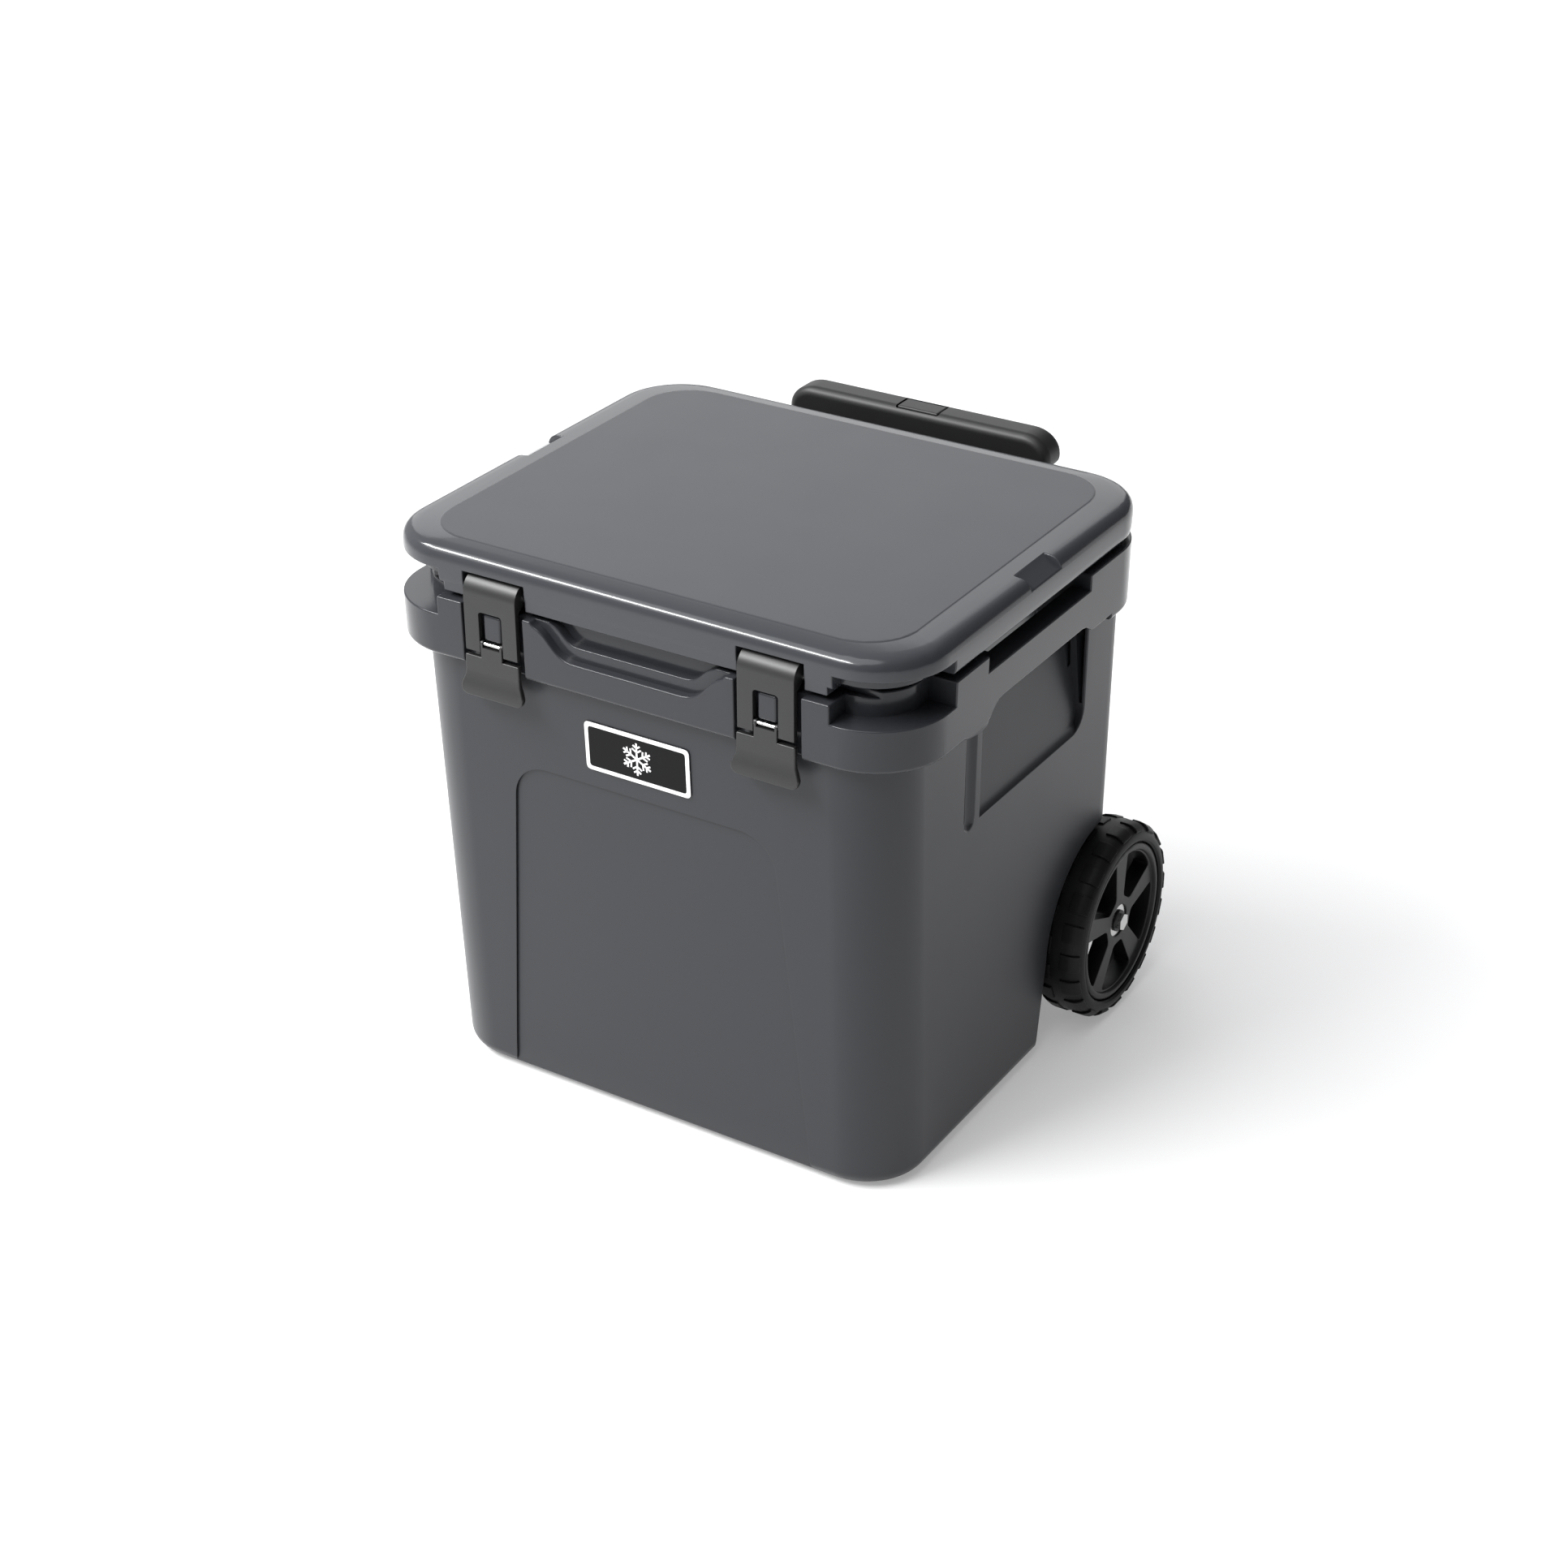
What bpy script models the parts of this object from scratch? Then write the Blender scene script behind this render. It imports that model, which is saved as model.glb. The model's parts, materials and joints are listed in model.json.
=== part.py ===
"""Cooler on wheels: an insulated tub with a hinged, latched lid, two wheels and a two-stage pull handle.

Metres, +Z up. The front faces -Y, +X is the right-hand side as seen from the front, and z = 0 is the floor.
"""
import math

import bmesh
import bpy
from mathutils import Matrix, Vector

for old_object in list(bpy.data.objects):
    bpy.data.objects.remove(old_object, do_unlink=True)

# ---------------------------------------------------------------- driving dimensions
GAP = 0.0003                       # clearance between pieces that touch

# Tub, moulded body below the collar
TUB_BASE_Z = 0.0025
TUB_BASE_HALF_X = 0.2225
TUB_BASE_FRONT = -0.2066
TUB_BASE_BACK = 0.1720
TUB_TOP_Z = 0.4300
TUB_TOP_HALF_X = 0.2257
TUB_TOP_FRONT = -0.2248
TUB_TOP_BACK = 0.1760
TUB_CORNER = 0.054
TUB_BASE_ROUND = 0.010

# Collar round the top of the tub
COLLAR_HALF_X = 0.2460
COLLAR_FRONT = -0.2342
COLLAR_BACK = 0.1780
COLLAR_LOW = 0.3990
COLLAR_TOP = 0.4565
COLLAR_FRONT_TOP = 0.4515
COLLAR_CORNER = 0.062

# Ice cavity and the recess for the plug under the tub
CAVITY_TOP = (0.1760, -0.1900, 0.1240)       # half width, front, back
CAVITY_FLOOR = (0.1680, -0.1720, 0.1180)
CAVITY_FLOOR_Z = 0.0450
CAVITY_CORNER = 0.028
PLUG_TOP = 0.0070

# Lid
LID_HALF_X = 0.2450
LID_FRONT = -0.2301
LID_BACK = 0.1780
LID_LOW = 0.4615
LID_TOP = 0.4935
LID_CORNER = 0.060
LID_EDGE = 0.009
SKIRT_LOW = 0.4560
SKIRT_HALF_X = 0.1755
LID_PAN_LOW = 0.4480
LID_PAN = (0.1720, -0.1860, 0.1200)          # half width, front, back

# Lid hinge
HINGE_Y = 0.1654
HINGE_Z = 0.4550
KNUCKLE_RADIUS = 0.0060
HINGE_PIN_RADIUS = 0.0030
HINGE_SHELF_Z = 0.4410
HINGE_RECESS_HALF_X = 0.2220
HINGE_RECESS_FRONT = HINGE_Y - 0.0075

# Latches: centre line, pocket, strap and lever
LATCH_X = 0.1265
LATCH_POCKET_HALF = 0.0292
LATCH_POCKET_FLOOR = -0.2255
STRAP_HALF = 0.0250
STRAP_FRONT = -0.2361
STRAP_THICKNESS = 0.0050
STRAP_LOW = 0.4140
STRAP_PIVOT_Y = -0.2226
STRAP_PIVOT_Z = 0.4630
STRAP_PIN_RADIUS = 0.0016
WINDOW_HALF = 0.0110
WINDOW_TOP = 0.4490
KEEPER_HALF = 0.0085
KEEPER_LOW = 0.4240
KEEPER_HIGH = 0.4470
KEEPER_FACE = -0.2313
LEVER_PIVOT_Y = -0.2342
LEVER_PIVOT_Z = 0.4218
LEVER_PIN_RADIUS = 0.0014
LEVER_TOP = 0.4100
LEVER_LOW = 0.3755
LEVER_FRONT = -0.2390

# Side handholds
POCKET_FLOOR_X = 0.1985
POCKET_FOOT_X = 0.2190
POCKET_FRONT = -0.0780
POCKET_BACK = 0.1010
POCKET_LOW = 0.2970
POCKET_HIGH = 0.4130
POCKET_LIP = 0.4050
BAR_FRONT = -0.0940
BAR_BACK = 0.0570
SLOT_FRONT = -0.1100
SLOT_BACK = 0.0590
SLOT_LOW = 0.4430
BAR_INNER_X = 0.2270

# Tie-down slots at the front corners
TIE_FRONT_X = 0.1800
TIE_SIDE_Y = -0.1600
TIE_LOW = 0.4360
TIE_INNER_RADIUS = 0.0380

# Wheels
WHEEL_Y = 0.1505
WHEEL_Z = 0.0885
TYRE_RADIUS = 0.0885
TYRE_INNER_X = 0.2030
TYRE_OUTER_X = 0.2510
RIM_RADIUS = 0.0725
WELL_RADIUS = 0.1055
WELL_INNER_X = 0.1960
AXLE_RADIUS = 0.0060
AXLE_END_X = 0.2500
BEARING_RADIUS = 0.0147
SPOKES = 5

# Pull handle
TUBE_X = 0.0850
TUBE_Y = 0.2190
OUTER_TUBE = (0.0095, 0.0110, 0.0400, 0.4520)       # bore, radius, low end, high end
MIDDLE_TUBE = (0.0080, 0.0092, 0.0460, 0.4580)
INNER_TUBE = (0.0062, 0.0077, 0.0520, 0.4730)
GRIP_HALF_X = 0.1285
GRIP_Y = 0.2210
GRIP_DEPTH = 0.0300
GRIP_LOW = 0.4640
GRIP_TOP = 0.4945
BUTTON_HALF_X = 0.0200
BUTTON_HALF_Y = 0.0080
BUTTON_LOW = 0.4885
GUIDE_HALF_X = 0.1120
GUIDE_BACK = 0.2330
GUIDE_SCREW_X = 0.0400
UPPER_GUIDE = (0.4020, 0.4380, COLLAR_BACK + GAP)    # low, high, front face
LOWER_GUIDE = (0.0300, 0.0640, 0.1730)

# ---------------------------------------------------------------- collections, materials
parts = bpy.data.collections.new("cooler_on_wheels")
cutters = bpy.data.collections.new("cutters")
for collection in (parts, cutters):
    bpy.context.scene.collection.children.link(collection)


def material(name, colour, roughness, metallic=0.0):
    """Make a plain Principled material."""
    made = bpy.data.materials.new(name)
    made.use_nodes = True
    shader = made.node_tree.nodes["Principled BSDF"]
    shader.inputs["Base Color"].default_value = (*colour, 1.0)
    shader.inputs["Roughness"].default_value = roughness
    shader.inputs["Metallic"].default_value = metallic
    return made


SHELL = ((0.085, 0.088, 0.095), 0.42, 0.0)
BLACK = ((0.018, 0.018, 0.019), 0.55, 0.0)
RUBBER = ((0.014, 0.014, 0.014), 0.80, 0.0)
STEEL = ((0.62, 0.62, 0.60), 0.30, 1.0)
ALUMINIUM = ((0.55, 0.56, 0.58), 0.35, 1.0)


# ---------------------------------------------------------------- modelling helpers
def finish(bm, name, look=None):
    """Turn a bmesh into an object: a part when it has a look, otherwise a hidden cutter."""
    bmesh.ops.recalc_face_normals(bm, faces=bm.faces)
    mesh = bpy.data.meshes.new(name)
    bm.to_mesh(mesh)
    bm.free()
    made = bpy.data.objects.new(name, mesh)
    return place(made, look)


def place(made, look):
    """Put an object in its collection and give a part its own material."""
    if look is None:
        cutters.objects.link(made)
        made.hide_render = True
        made.display_type = "WIRE"
        return made
    parts.objects.link(made)
    made.data.materials.append(material(made.name + "_material", *look))
    return made


def bevel(bm, edges, radius, segments):
    """Round a set of edges."""
    bmesh.ops.bevel(bm, geom=edges, offset=radius, offset_type="OFFSET", segments=segments,
                    profile=0.5, affect="EDGES", clamp_overlap=False, material=-1)


def upright(edge):
    """Tell whether an edge joins the top of a block to its base."""
    return abs(edge.verts[0].co.z - edge.verts[1].co.z) > 0.001


def level(edge, height):
    """Tell whether an edge lies at a height."""
    return all(abs(vertex.co.z - height) < 1e-5 for vertex in edge.verts)


def tapered(name, base, top, corner=0.0, segments=6, look=None, base_round=0.0, top_round=0.0, rounds=3):
    """Block between two level rectangles (half width, front, back, z), with rounded corners and rims."""
    bm = bmesh.new()
    bmesh.ops.create_cube(bm, size=2.0)
    for vertex in bm.verts:
        half, front, back, z = top if vertex.co.z > 0 else base
        vertex.co = Vector((math.copysign(half, vertex.co.x), back if vertex.co.y > 0 else front, z))
    if corner:
        bevel(bm, [edge for edge in bm.edges if upright(edge)], corner, segments)
    if top_round:
        bevel(bm, [edge for edge in bm.edges if level(edge, top[3])], top_round, rounds)
    if base_round:
        bevel(bm, [edge for edge in bm.edges if level(edge, base[3])], base_round, rounds)
    return finish(bm, name, look)


def block(name, x_range, y_range, z_range, look=None, radius=0.0, segments=2):
    """Box between three ranges, with all its edges rounded if asked."""
    low = Vector((x_range[0], y_range[0], z_range[0]))
    high = Vector((x_range[1], y_range[1], z_range[1]))
    bm = bmesh.new()
    size = Matrix.Diagonal((*(high - low), 1.0))
    bmesh.ops.create_cube(bm, size=1.0, matrix=Matrix.Translation((low + high) / 2) @ size)
    if radius:
        bevel(bm, bm.edges[:], radius, segments)
    return finish(bm, name, look)


AXES = {
    "X": Matrix(((0, 0, 1), (1, 0, 0), (0, 1, 0))),
    "Y": Matrix(((1, 0, 0), (0, 0, -1), (0, 1, 0))),
    "Z": Matrix.Identity(3),
}


def prism(name, outline, axis, low, high, look=None):
    """Flat outline, (y, z), (x, z) or (x, y), extruded along the third axis."""
    curve = bpy.data.curves.new(name + "_outline", "CURVE")
    curve.dimensions = "2D"
    curve.fill_mode = "BOTH"
    curve.extrude = (high - low) / 2
    spline = curve.splines.new("POLY")
    spline.points.add(len(outline) - 1)
    for point, (a, b) in zip(spline.points, outline):
        point.co = (a, b, 0.0, 1.0)
    spline.use_cyclic_u = True
    flat = bpy.data.objects.new(name + "_outline", curve)
    bpy.context.scene.collection.objects.link(flat)
    bpy.context.view_layer.update()
    solid = bpy.data.meshes.new_from_object(flat.evaluated_get(bpy.context.evaluated_depsgraph_get()))
    bpy.data.objects.remove(flat, do_unlink=True)
    bm = bmesh.new()
    bm.from_mesh(solid)
    bpy.data.meshes.remove(solid)
    bmesh.ops.remove_doubles(bm, verts=bm.verts, dist=1e-6)
    turn = AXES[axis]
    middle = turn @ Vector((0, 0, 1)) * (low + high) / 2
    if axis == "Y":
        middle = -middle
    bmesh.ops.transform(bm, matrix=Matrix.Translation(middle) @ turn.to_4x4(), verts=bm.verts)
    return finish(bm, name, look)


def cylinder(name, radius, axis, centre, low, high, look=None, segments=20):
    """Round bar along an axis through a centre given in the other two coordinates."""
    bm = bmesh.new()
    turn = AXES[axis].to_4x4()
    bmesh.ops.create_cone(bm, cap_ends=True, segments=segments, radius1=radius, radius2=radius, depth=high - low)
    a, b = centre
    middle = (low + high) / 2
    places = {"X": (middle, a, b), "Y": (a, middle, b), "Z": (a, b, middle)}
    bmesh.ops.transform(bm, matrix=Matrix.Translation(places[axis]) @ turn, verts=bm.verts)
    return finish(bm, name, look)


def turned(name, profile, location, look, steps=32, to_side=0):
    """Closed (radius, height) profile turned about +Z, laid along X towards +X or -X if asked."""
    bm = bmesh.new()
    corners = [bm.verts.new((radius, 0.0, height)) for radius, height in profile]
    for start, end in zip(corners, corners[1:] + corners[:1]):
        bm.edges.new((start, end))
    mesh = bpy.data.meshes.new(name)
    bm.to_mesh(mesh)
    bm.free()
    made = bpy.data.objects.new(name, mesh)
    place(made, look)
    made.location = location
    made.rotation_euler = (0.0, math.radians(90.0) * to_side, 0.0)
    screw = made.modifiers.new("turn", "SCREW")
    screw.axis = "Z"
    screw.steps = steps
    screw.render_steps = steps
    screw.use_merge_vertices = True
    screw.merge_threshold = 0.00001
    return made


def combine(target, other, operation="DIFFERENCE"):
    """Cut, join or intersect one object with another."""
    modifier = target.modifiers.new(operation.lower() + "_" + other.name, "BOOLEAN")
    modifier.operation = operation
    modifier.solver = "EXACT"
    modifier.object = other
    return target


def cut(target, *others):
    """Cut several solids out of one."""
    for other in others:
        combine(target, other)


def join(target, *others):
    """Join several solids to one."""
    for other in others:
        combine(target, other, "UNION")


def arc(centre, radius, start, end, count):
    """Points on an arc, angles in degrees."""
    angles = [math.radians(start + (end - start) * step / count) for step in range(count + 1)]
    return [(centre[0] + radius * math.cos(angle), centre[1] + radius * math.sin(angle)) for angle in angles]


def mirrored(outline, side):
    """Outline for the right-hand side, or its mirror image for the left."""
    return [(side * x, y) for x, y in outline]


def span(side, near, far):
    """Range of x from near to far on one side."""
    return (near, far) if side > 0 else (-far, -near)


SIDES = (("left", -1), ("right", 1))


# ---------------------------------------------------------------- tub
def cavity(name):
    """The ice cavity."""
    return tapered(name, (*CAVITY_FLOOR, CAVITY_FLOOR_Z), (*CAVITY_TOP, 0.4700), CAVITY_CORNER, 5, base_round=0.012)


def well_outline():
    """Wheel well in side view: an arc round the wheel, straight down in front, open behind."""
    bow = arc((WHEEL_Y, WHEEL_Z), WELL_RADIUS, 70, 180, 10)
    return [(0.2600, bow[0][1])] + bow + [(0.0300, 0.0150), (0.0300, -0.0200), (0.2600, -0.0200)]


def tie_outline(inner, side):
    """Corner slot in plan: a bent strip round the collar's front corner."""
    centre = (COLLAR_HALF_X - COLLAR_CORNER, COLLAR_FRONT + COLLAR_CORNER)
    outer = 0.0750
    points = [(TIE_FRONT_X, centre[1] - outer)]
    points += arc(centre, outer, -90, 0, 6)
    points += [(centre[0] + outer, TIE_SIDE_Y), (centre[0] + inner, TIE_SIDE_Y)]
    points += arc(centre, inner, 0, -90, 6)
    points += [(TIE_FRONT_X, centre[1] - inner)]
    return mirrored(points, side)


def panel_outline():
    """Sunken front panel: rounded at the top, wider at the foot, running off the bottom."""
    right = arc((0.0910, 0.2790), 0.0350, 90, 5, 6) + [(0.1480, 0.0300), (0.1500, -0.0100)]
    return right + [(-x, z) for x, z in reversed(right)]


def scoop_outline(foot_half, foot_z, top_half):
    """Finger scoop under the lid's front edge."""
    return [(foot_half, foot_z), (top_half, COLLAR_TOP + 0.010), (-top_half, COLLAR_TOP + 0.010), (-foot_half, foot_z)]


def pocket_outline():
    """Side pocket seen from the front: its floor leans in towards the top."""
    return [(POCKET_FOOT_X, POCKET_LOW), (0.2700, POCKET_LOW), (0.2700, POCKET_LIP), (0.2265, POCKET_LIP),
            (0.2265, POCKET_HIGH), (POCKET_FLOOR_X, POCKET_HIGH)]


def tub():
    """Moulded insulated tub with its collar, pockets, wheel wells and hinge knuckles."""
    shell = tapered("tub_shell",
                    (TUB_BASE_HALF_X, TUB_BASE_FRONT, TUB_BASE_BACK, TUB_BASE_Z),
                    (TUB_TOP_HALF_X, TUB_TOP_FRONT, TUB_TOP_BACK, TUB_TOP_Z),
                    TUB_CORNER, 6, SHELL, base_round=TUB_BASE_ROUND)
    collar = tapered("collar", (COLLAR_HALF_X, COLLAR_FRONT, COLLAR_BACK, COLLAR_LOW),
                     (COLLAR_HALF_X, COLLAR_FRONT, COLLAR_BACK, COLLAR_TOP), COLLAR_CORNER, 7)
    join(shell, collar)
    tilt = math.atan((TUB_BASE_FRONT - TUB_TOP_FRONT) / (TUB_TOP_Z - TUB_BASE_Z))
    panel = prism("panel_cutter", panel_outline(), "Y", -0.030, 0.003)
    panel.location = (0.0, TUB_BASE_FRONT, TUB_BASE_Z)
    panel.rotation_euler = (tilt, 0.0, 0.0)
    cut(shell, panel,
        block("front_rim_cutter", (-0.26, 0.26), (-0.26, -0.203), (COLLAR_FRONT_TOP, 0.48)),
        prism("scoop_cutter", scoop_outline(0.0616, 0.4246, 0.0900), "Y", -0.26, -0.2262),
        prism("deep_scoop_cutter", scoop_outline(0.0570, 0.4358, 0.0820), "Y", -0.26, -0.2175),
        block("hinge_recess_cutter", (-HINGE_RECESS_HALF_X, HINGE_RECESS_HALF_X),
              (HINGE_RECESS_FRONT, 0.20), (HINGE_SHELF_Z, 0.48)))
    for word, side in SIDES:
        cut(shell,
            block("latch_pocket_cutter_" + word,
                  (side * LATCH_X - LATCH_POCKET_HALF, side * LATCH_X + LATCH_POCKET_HALF),
                  (-0.26, LATCH_POCKET_FLOOR), (0.38, 0.48)),
            prism("tie_cutter_" + word, tie_outline(TIE_INNER_RADIUS, side), "Z", TIE_LOW, 0.48),
            block("slot_cutter_" + word, span(side, POCKET_FLOOR_X, 0.27), (SLOT_FRONT, SLOT_BACK), (SLOT_LOW, 0.48)),
            block("grip_space_cutter_" + word, span(side, POCKET_FLOOR_X, BAR_INNER_X),
                  (POCKET_FRONT, SLOT_BACK), (0.40, 0.45)),
            block("bar_cutter_" + word, span(side, 0.2255, 0.27), (BAR_FRONT, BAR_BACK), (0.3900, POCKET_HIGH)),
            prism("pocket_cutter_" + word, mirrored(pocket_outline(), side), "Y", POCKET_FRONT, POCKET_BACK),
            prism("well_cutter_" + word, well_outline(), "X", *span(side, WELL_INNER_X, 0.28)))
        join(shell,
             block("keeper_" + word, (side * LATCH_X - KEEPER_HALF, side * LATCH_X + KEEPER_HALF),
                   (KEEPER_FACE, LATCH_POCKET_FLOOR + 0.004), (KEEPER_LOW, KEEPER_HIGH)))
        for near, far in ((0.1080, 0.1423), (0.1777, 0.2120)):
            number = "_inner_" if near < 0.15 else "_outer_"
            join(shell,
                 block("knuckle_web" + number + word, span(side, near, far),
                       (HINGE_Y - 0.0080, HINGE_Y + 0.0030), (HINGE_SHELF_Z - 0.004, HINGE_Z)),
                 cylinder("knuckle" + number + word, KNUCKLE_RADIUS, "X", (HINGE_Y, HINGE_Z), *span(side, near, far)))
        cut(shell,
            cylinder("hinge_bore_" + word, HINGE_PIN_RADIUS + GAP, "X", (HINGE_Y, HINGE_Z), *span(side, 0.100, 0.230)))
    cut(shell, cavity("cavity_cutter"),
        cylinder("fill_hole_cutter", 0.0123, "Z", (0.0, -0.04), -0.01, PLUG_TOP),
        cylinder("axle_cutter", AXLE_RADIUS + GAP, "X", (WHEEL_Y, WHEEL_Z), -0.23, 0.23))
    for word, side in SIDES:
        cut(shell, block("foot_recess_" + word, (side * 0.130 - 0.0223, side * 0.130 + 0.0223),
                         (-0.1753, -0.1447), (-0.01, 0.0043)))
    for x, z, front in guide_screw_places():
        cut(shell, cylinder("screw_bore_%d_%d" % (x * 1000, z * 1000), 0.0028, "Y", (x, z), 0.1715, 0.1900))
    return shell


def tub_fittings():
    """The plug in the tub's filling hole, and the feet."""
    cylinder("fill_plug", 0.0120, "Z", (0.0, -0.04), 0.0028, PLUG_TOP - 0.0005, BLACK)
    for word, side in SIDES:
        block("foot_" + word, (side * 0.130 - 0.022, side * 0.130 + 0.022), (-0.175, -0.145), (0.0, 0.0040), RUBBER)


def badge():
    """Blank badge plate on the upper front, following the wall's slope."""
    slope = (TUB_TOP_FRONT - TUB_BASE_FRONT) / (TUB_TOP_Z - TUB_BASE_Z)
    middle_z = 0.3515
    wall = TUB_BASE_FRONT + slope * (middle_z - TUB_BASE_Z)
    plate = block("badge_plate", (-0.049, 0.049), (-0.0018, -GAP), (-0.0215, 0.0215), BLACK)
    plate.location = (0.0, wall, middle_z)
    plate.rotation_euler = (-math.atan(slope), 0.0, 0.0)


# ---------------------------------------------------------------- lid
def hinge_pins():
    """Steel pins through the interleaved knuckles."""
    for word, side in SIDES:
        cylinder("hinge_pin_" + word, HINGE_PIN_RADIUS, "X", (HINGE_Y, HINGE_Z), *span(side, 0.1085, 0.2115), STEEL)


def lid():
    """Insulated moulded lid with its front skirt, pan, corner slots, latch pockets and knuckles."""
    shell = tapered("lid_shell", (LID_HALF_X, LID_FRONT, LID_BACK, LID_LOW),
                    (LID_HALF_X, LID_FRONT, LID_BACK, LID_TOP), LID_CORNER, 7, SHELL, top_round=LID_EDGE)
    half, front, back = LID_PAN
    pan = tapered("pan", (half, front, back, LID_PAN_LOW), (half, front, back, LID_LOW + 0.002), 0.026, 4)
    join(shell, pan,
         block("skirt", (-SKIRT_HALF_X, SKIRT_HALF_X), (-0.2295, -0.2050), (SKIRT_LOW, LID_LOW + 0.003)))
    for word, side in SIDES:
        cut(shell,
            prism("lid_tie_cutter_" + word, tie_outline(0.0440, side), "Z", 0.44, 0.4735),
            block("lid_latch_cutter_" + word,
                  (side * LATCH_X - LATCH_POCKET_HALF, side * LATCH_X + LATCH_POCKET_HALF),
                  (-0.26, STRAP_PIVOT_Y + 0.0142), (0.44, STRAP_PIVOT_Z + 0.0142)),
            prism("lid_notch_cutter_" + word,
                  mirrored([(0.2285, 0.52), (0.2285, 0.4900), (0.2520, 0.4800), (0.2700, 0.4800), (0.2700, 0.52)], side),
                  "Y", -0.0426, 0.0064))
        join(shell,
             block("lid_knuckle_web_" + word, span(side, 0.1430, 0.1770),
                   (HINGE_Y - 0.0044, HINGE_Y + 0.0046), (HINGE_Z, LID_LOW + 0.002)),
             cylinder("lid_knuckle_" + word, KNUCKLE_RADIUS, "X", (HINGE_Y, HINGE_Z), *span(side, 0.1430, 0.1770)))
        cut(shell,
            cylinder("lid_hinge_bore_" + word, HINGE_PIN_RADIUS + GAP, "X", (HINGE_Y, HINGE_Z),
                     *span(side, 0.100, 0.230)),
            cylinder("strap_pin_bore_" + word, STRAP_PIN_RADIUS + GAP, "X", (STRAP_PIVOT_Y, STRAP_PIVOT_Z),
                     *span(side, 0.0875, 0.200), segments=12))
    cut(shell, cylinder("lid_fill_cutter", 0.0083, "Z", (0.0, -0.04), 0.44, LID_LOW))
    cylinder("lid_fill_plug", 0.0080, "Z", (0.0, -0.04), LID_PAN_LOW + 0.0005, LID_LOW - 0.0005, BLACK)
    ring("lid_gasket", (0.1890, -0.2010, 0.1390), (0.1810, -0.1930, 0.1310), LID_LOW - GAP, COLLAR_TOP + GAP)
    for word, side in SIDES:
        cylinder("strap_pin_" + word, STRAP_PIN_RADIUS, "X", (STRAP_PIVOT_Y, STRAP_PIVOT_Z),
                 *span(side, 0.0880, 0.1765), STEEL, 12)


def ring(name, outer, inner, high, low):
    """Flat rubber ring between two rounded rectangles (half width, front, back)."""
    made = tapered(name, (*outer, low), (*outer, high), 0.034, 5, RUBBER)
    cut(made, tapered(name + "_inside", (*inner, low - 0.01), (*inner, high + 0.01), 0.026, 5))
    return made


# ---------------------------------------------------------------- latches
def strap(word, side):
    """Latch strap: a fork that hooks back over its pin at the top."""
    centre = (STRAP_PIVOT_Y, STRAP_PIVOT_Z)
    outer = STRAP_PIVOT_Y - STRAP_FRONT
    inner = outer - STRAP_THICKNESS
    x_low = side * LATCH_X - STRAP_HALF
    x_high = side * LATCH_X + STRAP_HALF
    hook = [(STRAP_FRONT, STRAP_LOW)] + arc(centre, outer, 180, 75, 8) + arc(centre, inner, 75, 180, 6)
    hook.append((STRAP_FRONT + STRAP_THICKNESS, STRAP_LOW))
    made = prism("latch_strap_" + word, hook, "X", x_low, x_high, BLACK)
    cheek = arc(centre, outer - 0.001, 175, 80, 6) + [(STRAP_PIVOT_Y + 0.0036, STRAP_PIVOT_Z)]
    cheek += arc(centre, 0.0036, -20, -100, 4) + [(STRAP_FRONT + 0.003, STRAP_PIVOT_Z - 0.010)]
    for end, (near, far) in enumerate(((x_low, x_low + 0.006), (x_high - 0.006, x_high))):
        join(made, prism("strap_cheek_%s_%d" % (word, end), cheek, "X", near, far))
    cut(made,
        block("strap_window_" + word, (side * LATCH_X - WINDOW_HALF, side * LATCH_X + WINDOW_HALF),
              (-0.25, -0.22), (STRAP_LOW - 0.01, WINDOW_TOP)),
        cylinder("strap_bore_" + word, STRAP_PIN_RADIUS + GAP, "X", centre, x_low - 0.01, x_high + 0.01, segments=12),
        cylinder("strap_bar_bore_" + word, LEVER_PIN_RADIUS + GAP, "X", (LEVER_PIVOT_Y, LEVER_PIVOT_Z),
                 side * LATCH_X - 0.0143, side * LATCH_X + 0.0143, segments=12))
    return made


def lever(word, side):
    """Latch lever: a flared tab whose tongue turns on a steel bar between the strap's legs."""
    x = side * LATCH_X
    right = [(0.0080, LEVER_TOP), (0.0258, LEVER_TOP), (0.0262, 0.3930), (0.0300, 0.3830), (0.0300, 0.3815)]
    right += arc((0.0240, 0.3815), 0.0060, 0, -90, 4)[1:]
    face = [(x + a, b) for a, b in right] + [(x - a, b) for a, b in reversed(right)]
    made = prism("latch_lever_" + word, face, "Y", -0.2450, -0.2250, BLACK)
    section = [(-0.2318, LEVER_TOP + 0.001), (-0.2366, LEVER_TOP + 0.001), (-0.2366, 0.3930), (LEVER_FRONT, 0.3800),
               (LEVER_FRONT, LEVER_LOW - 0.001), (-0.2355, LEVER_LOW - 0.001), (-0.2330, 0.3900)]
    combine(made, prism("lever_section_" + word, section, "X", x - 0.04, x + 0.04), "INTERSECT")
    join(made,
         block("lever_tongue_" + word, (x - 0.0103, x + 0.0103), (-0.2366, -0.2318), (LEVER_TOP - 0.003, LEVER_PIVOT_Z)),
         cylinder("lever_eye_" + word, 0.0025, "X", (LEVER_PIVOT_Y, LEVER_PIVOT_Z), x - 0.0103, x + 0.0103, segments=16))
    cut(made, cylinder("lever_bore_" + word, LEVER_PIN_RADIUS + GAP, "X", (LEVER_PIVOT_Y, LEVER_PIVOT_Z),
                       x - 0.02, x + 0.02, segments=12))
    return made


def latch_bar(word, side):
    """Steel bar between the legs of a strap."""
    return cylinder("latch_bar_" + word, LEVER_PIN_RADIUS, "X", (LEVER_PIVOT_Y, LEVER_PIVOT_Z),
                    side * LATCH_X - 0.0140, side * LATCH_X + 0.0140, STEEL, 12)


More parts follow.
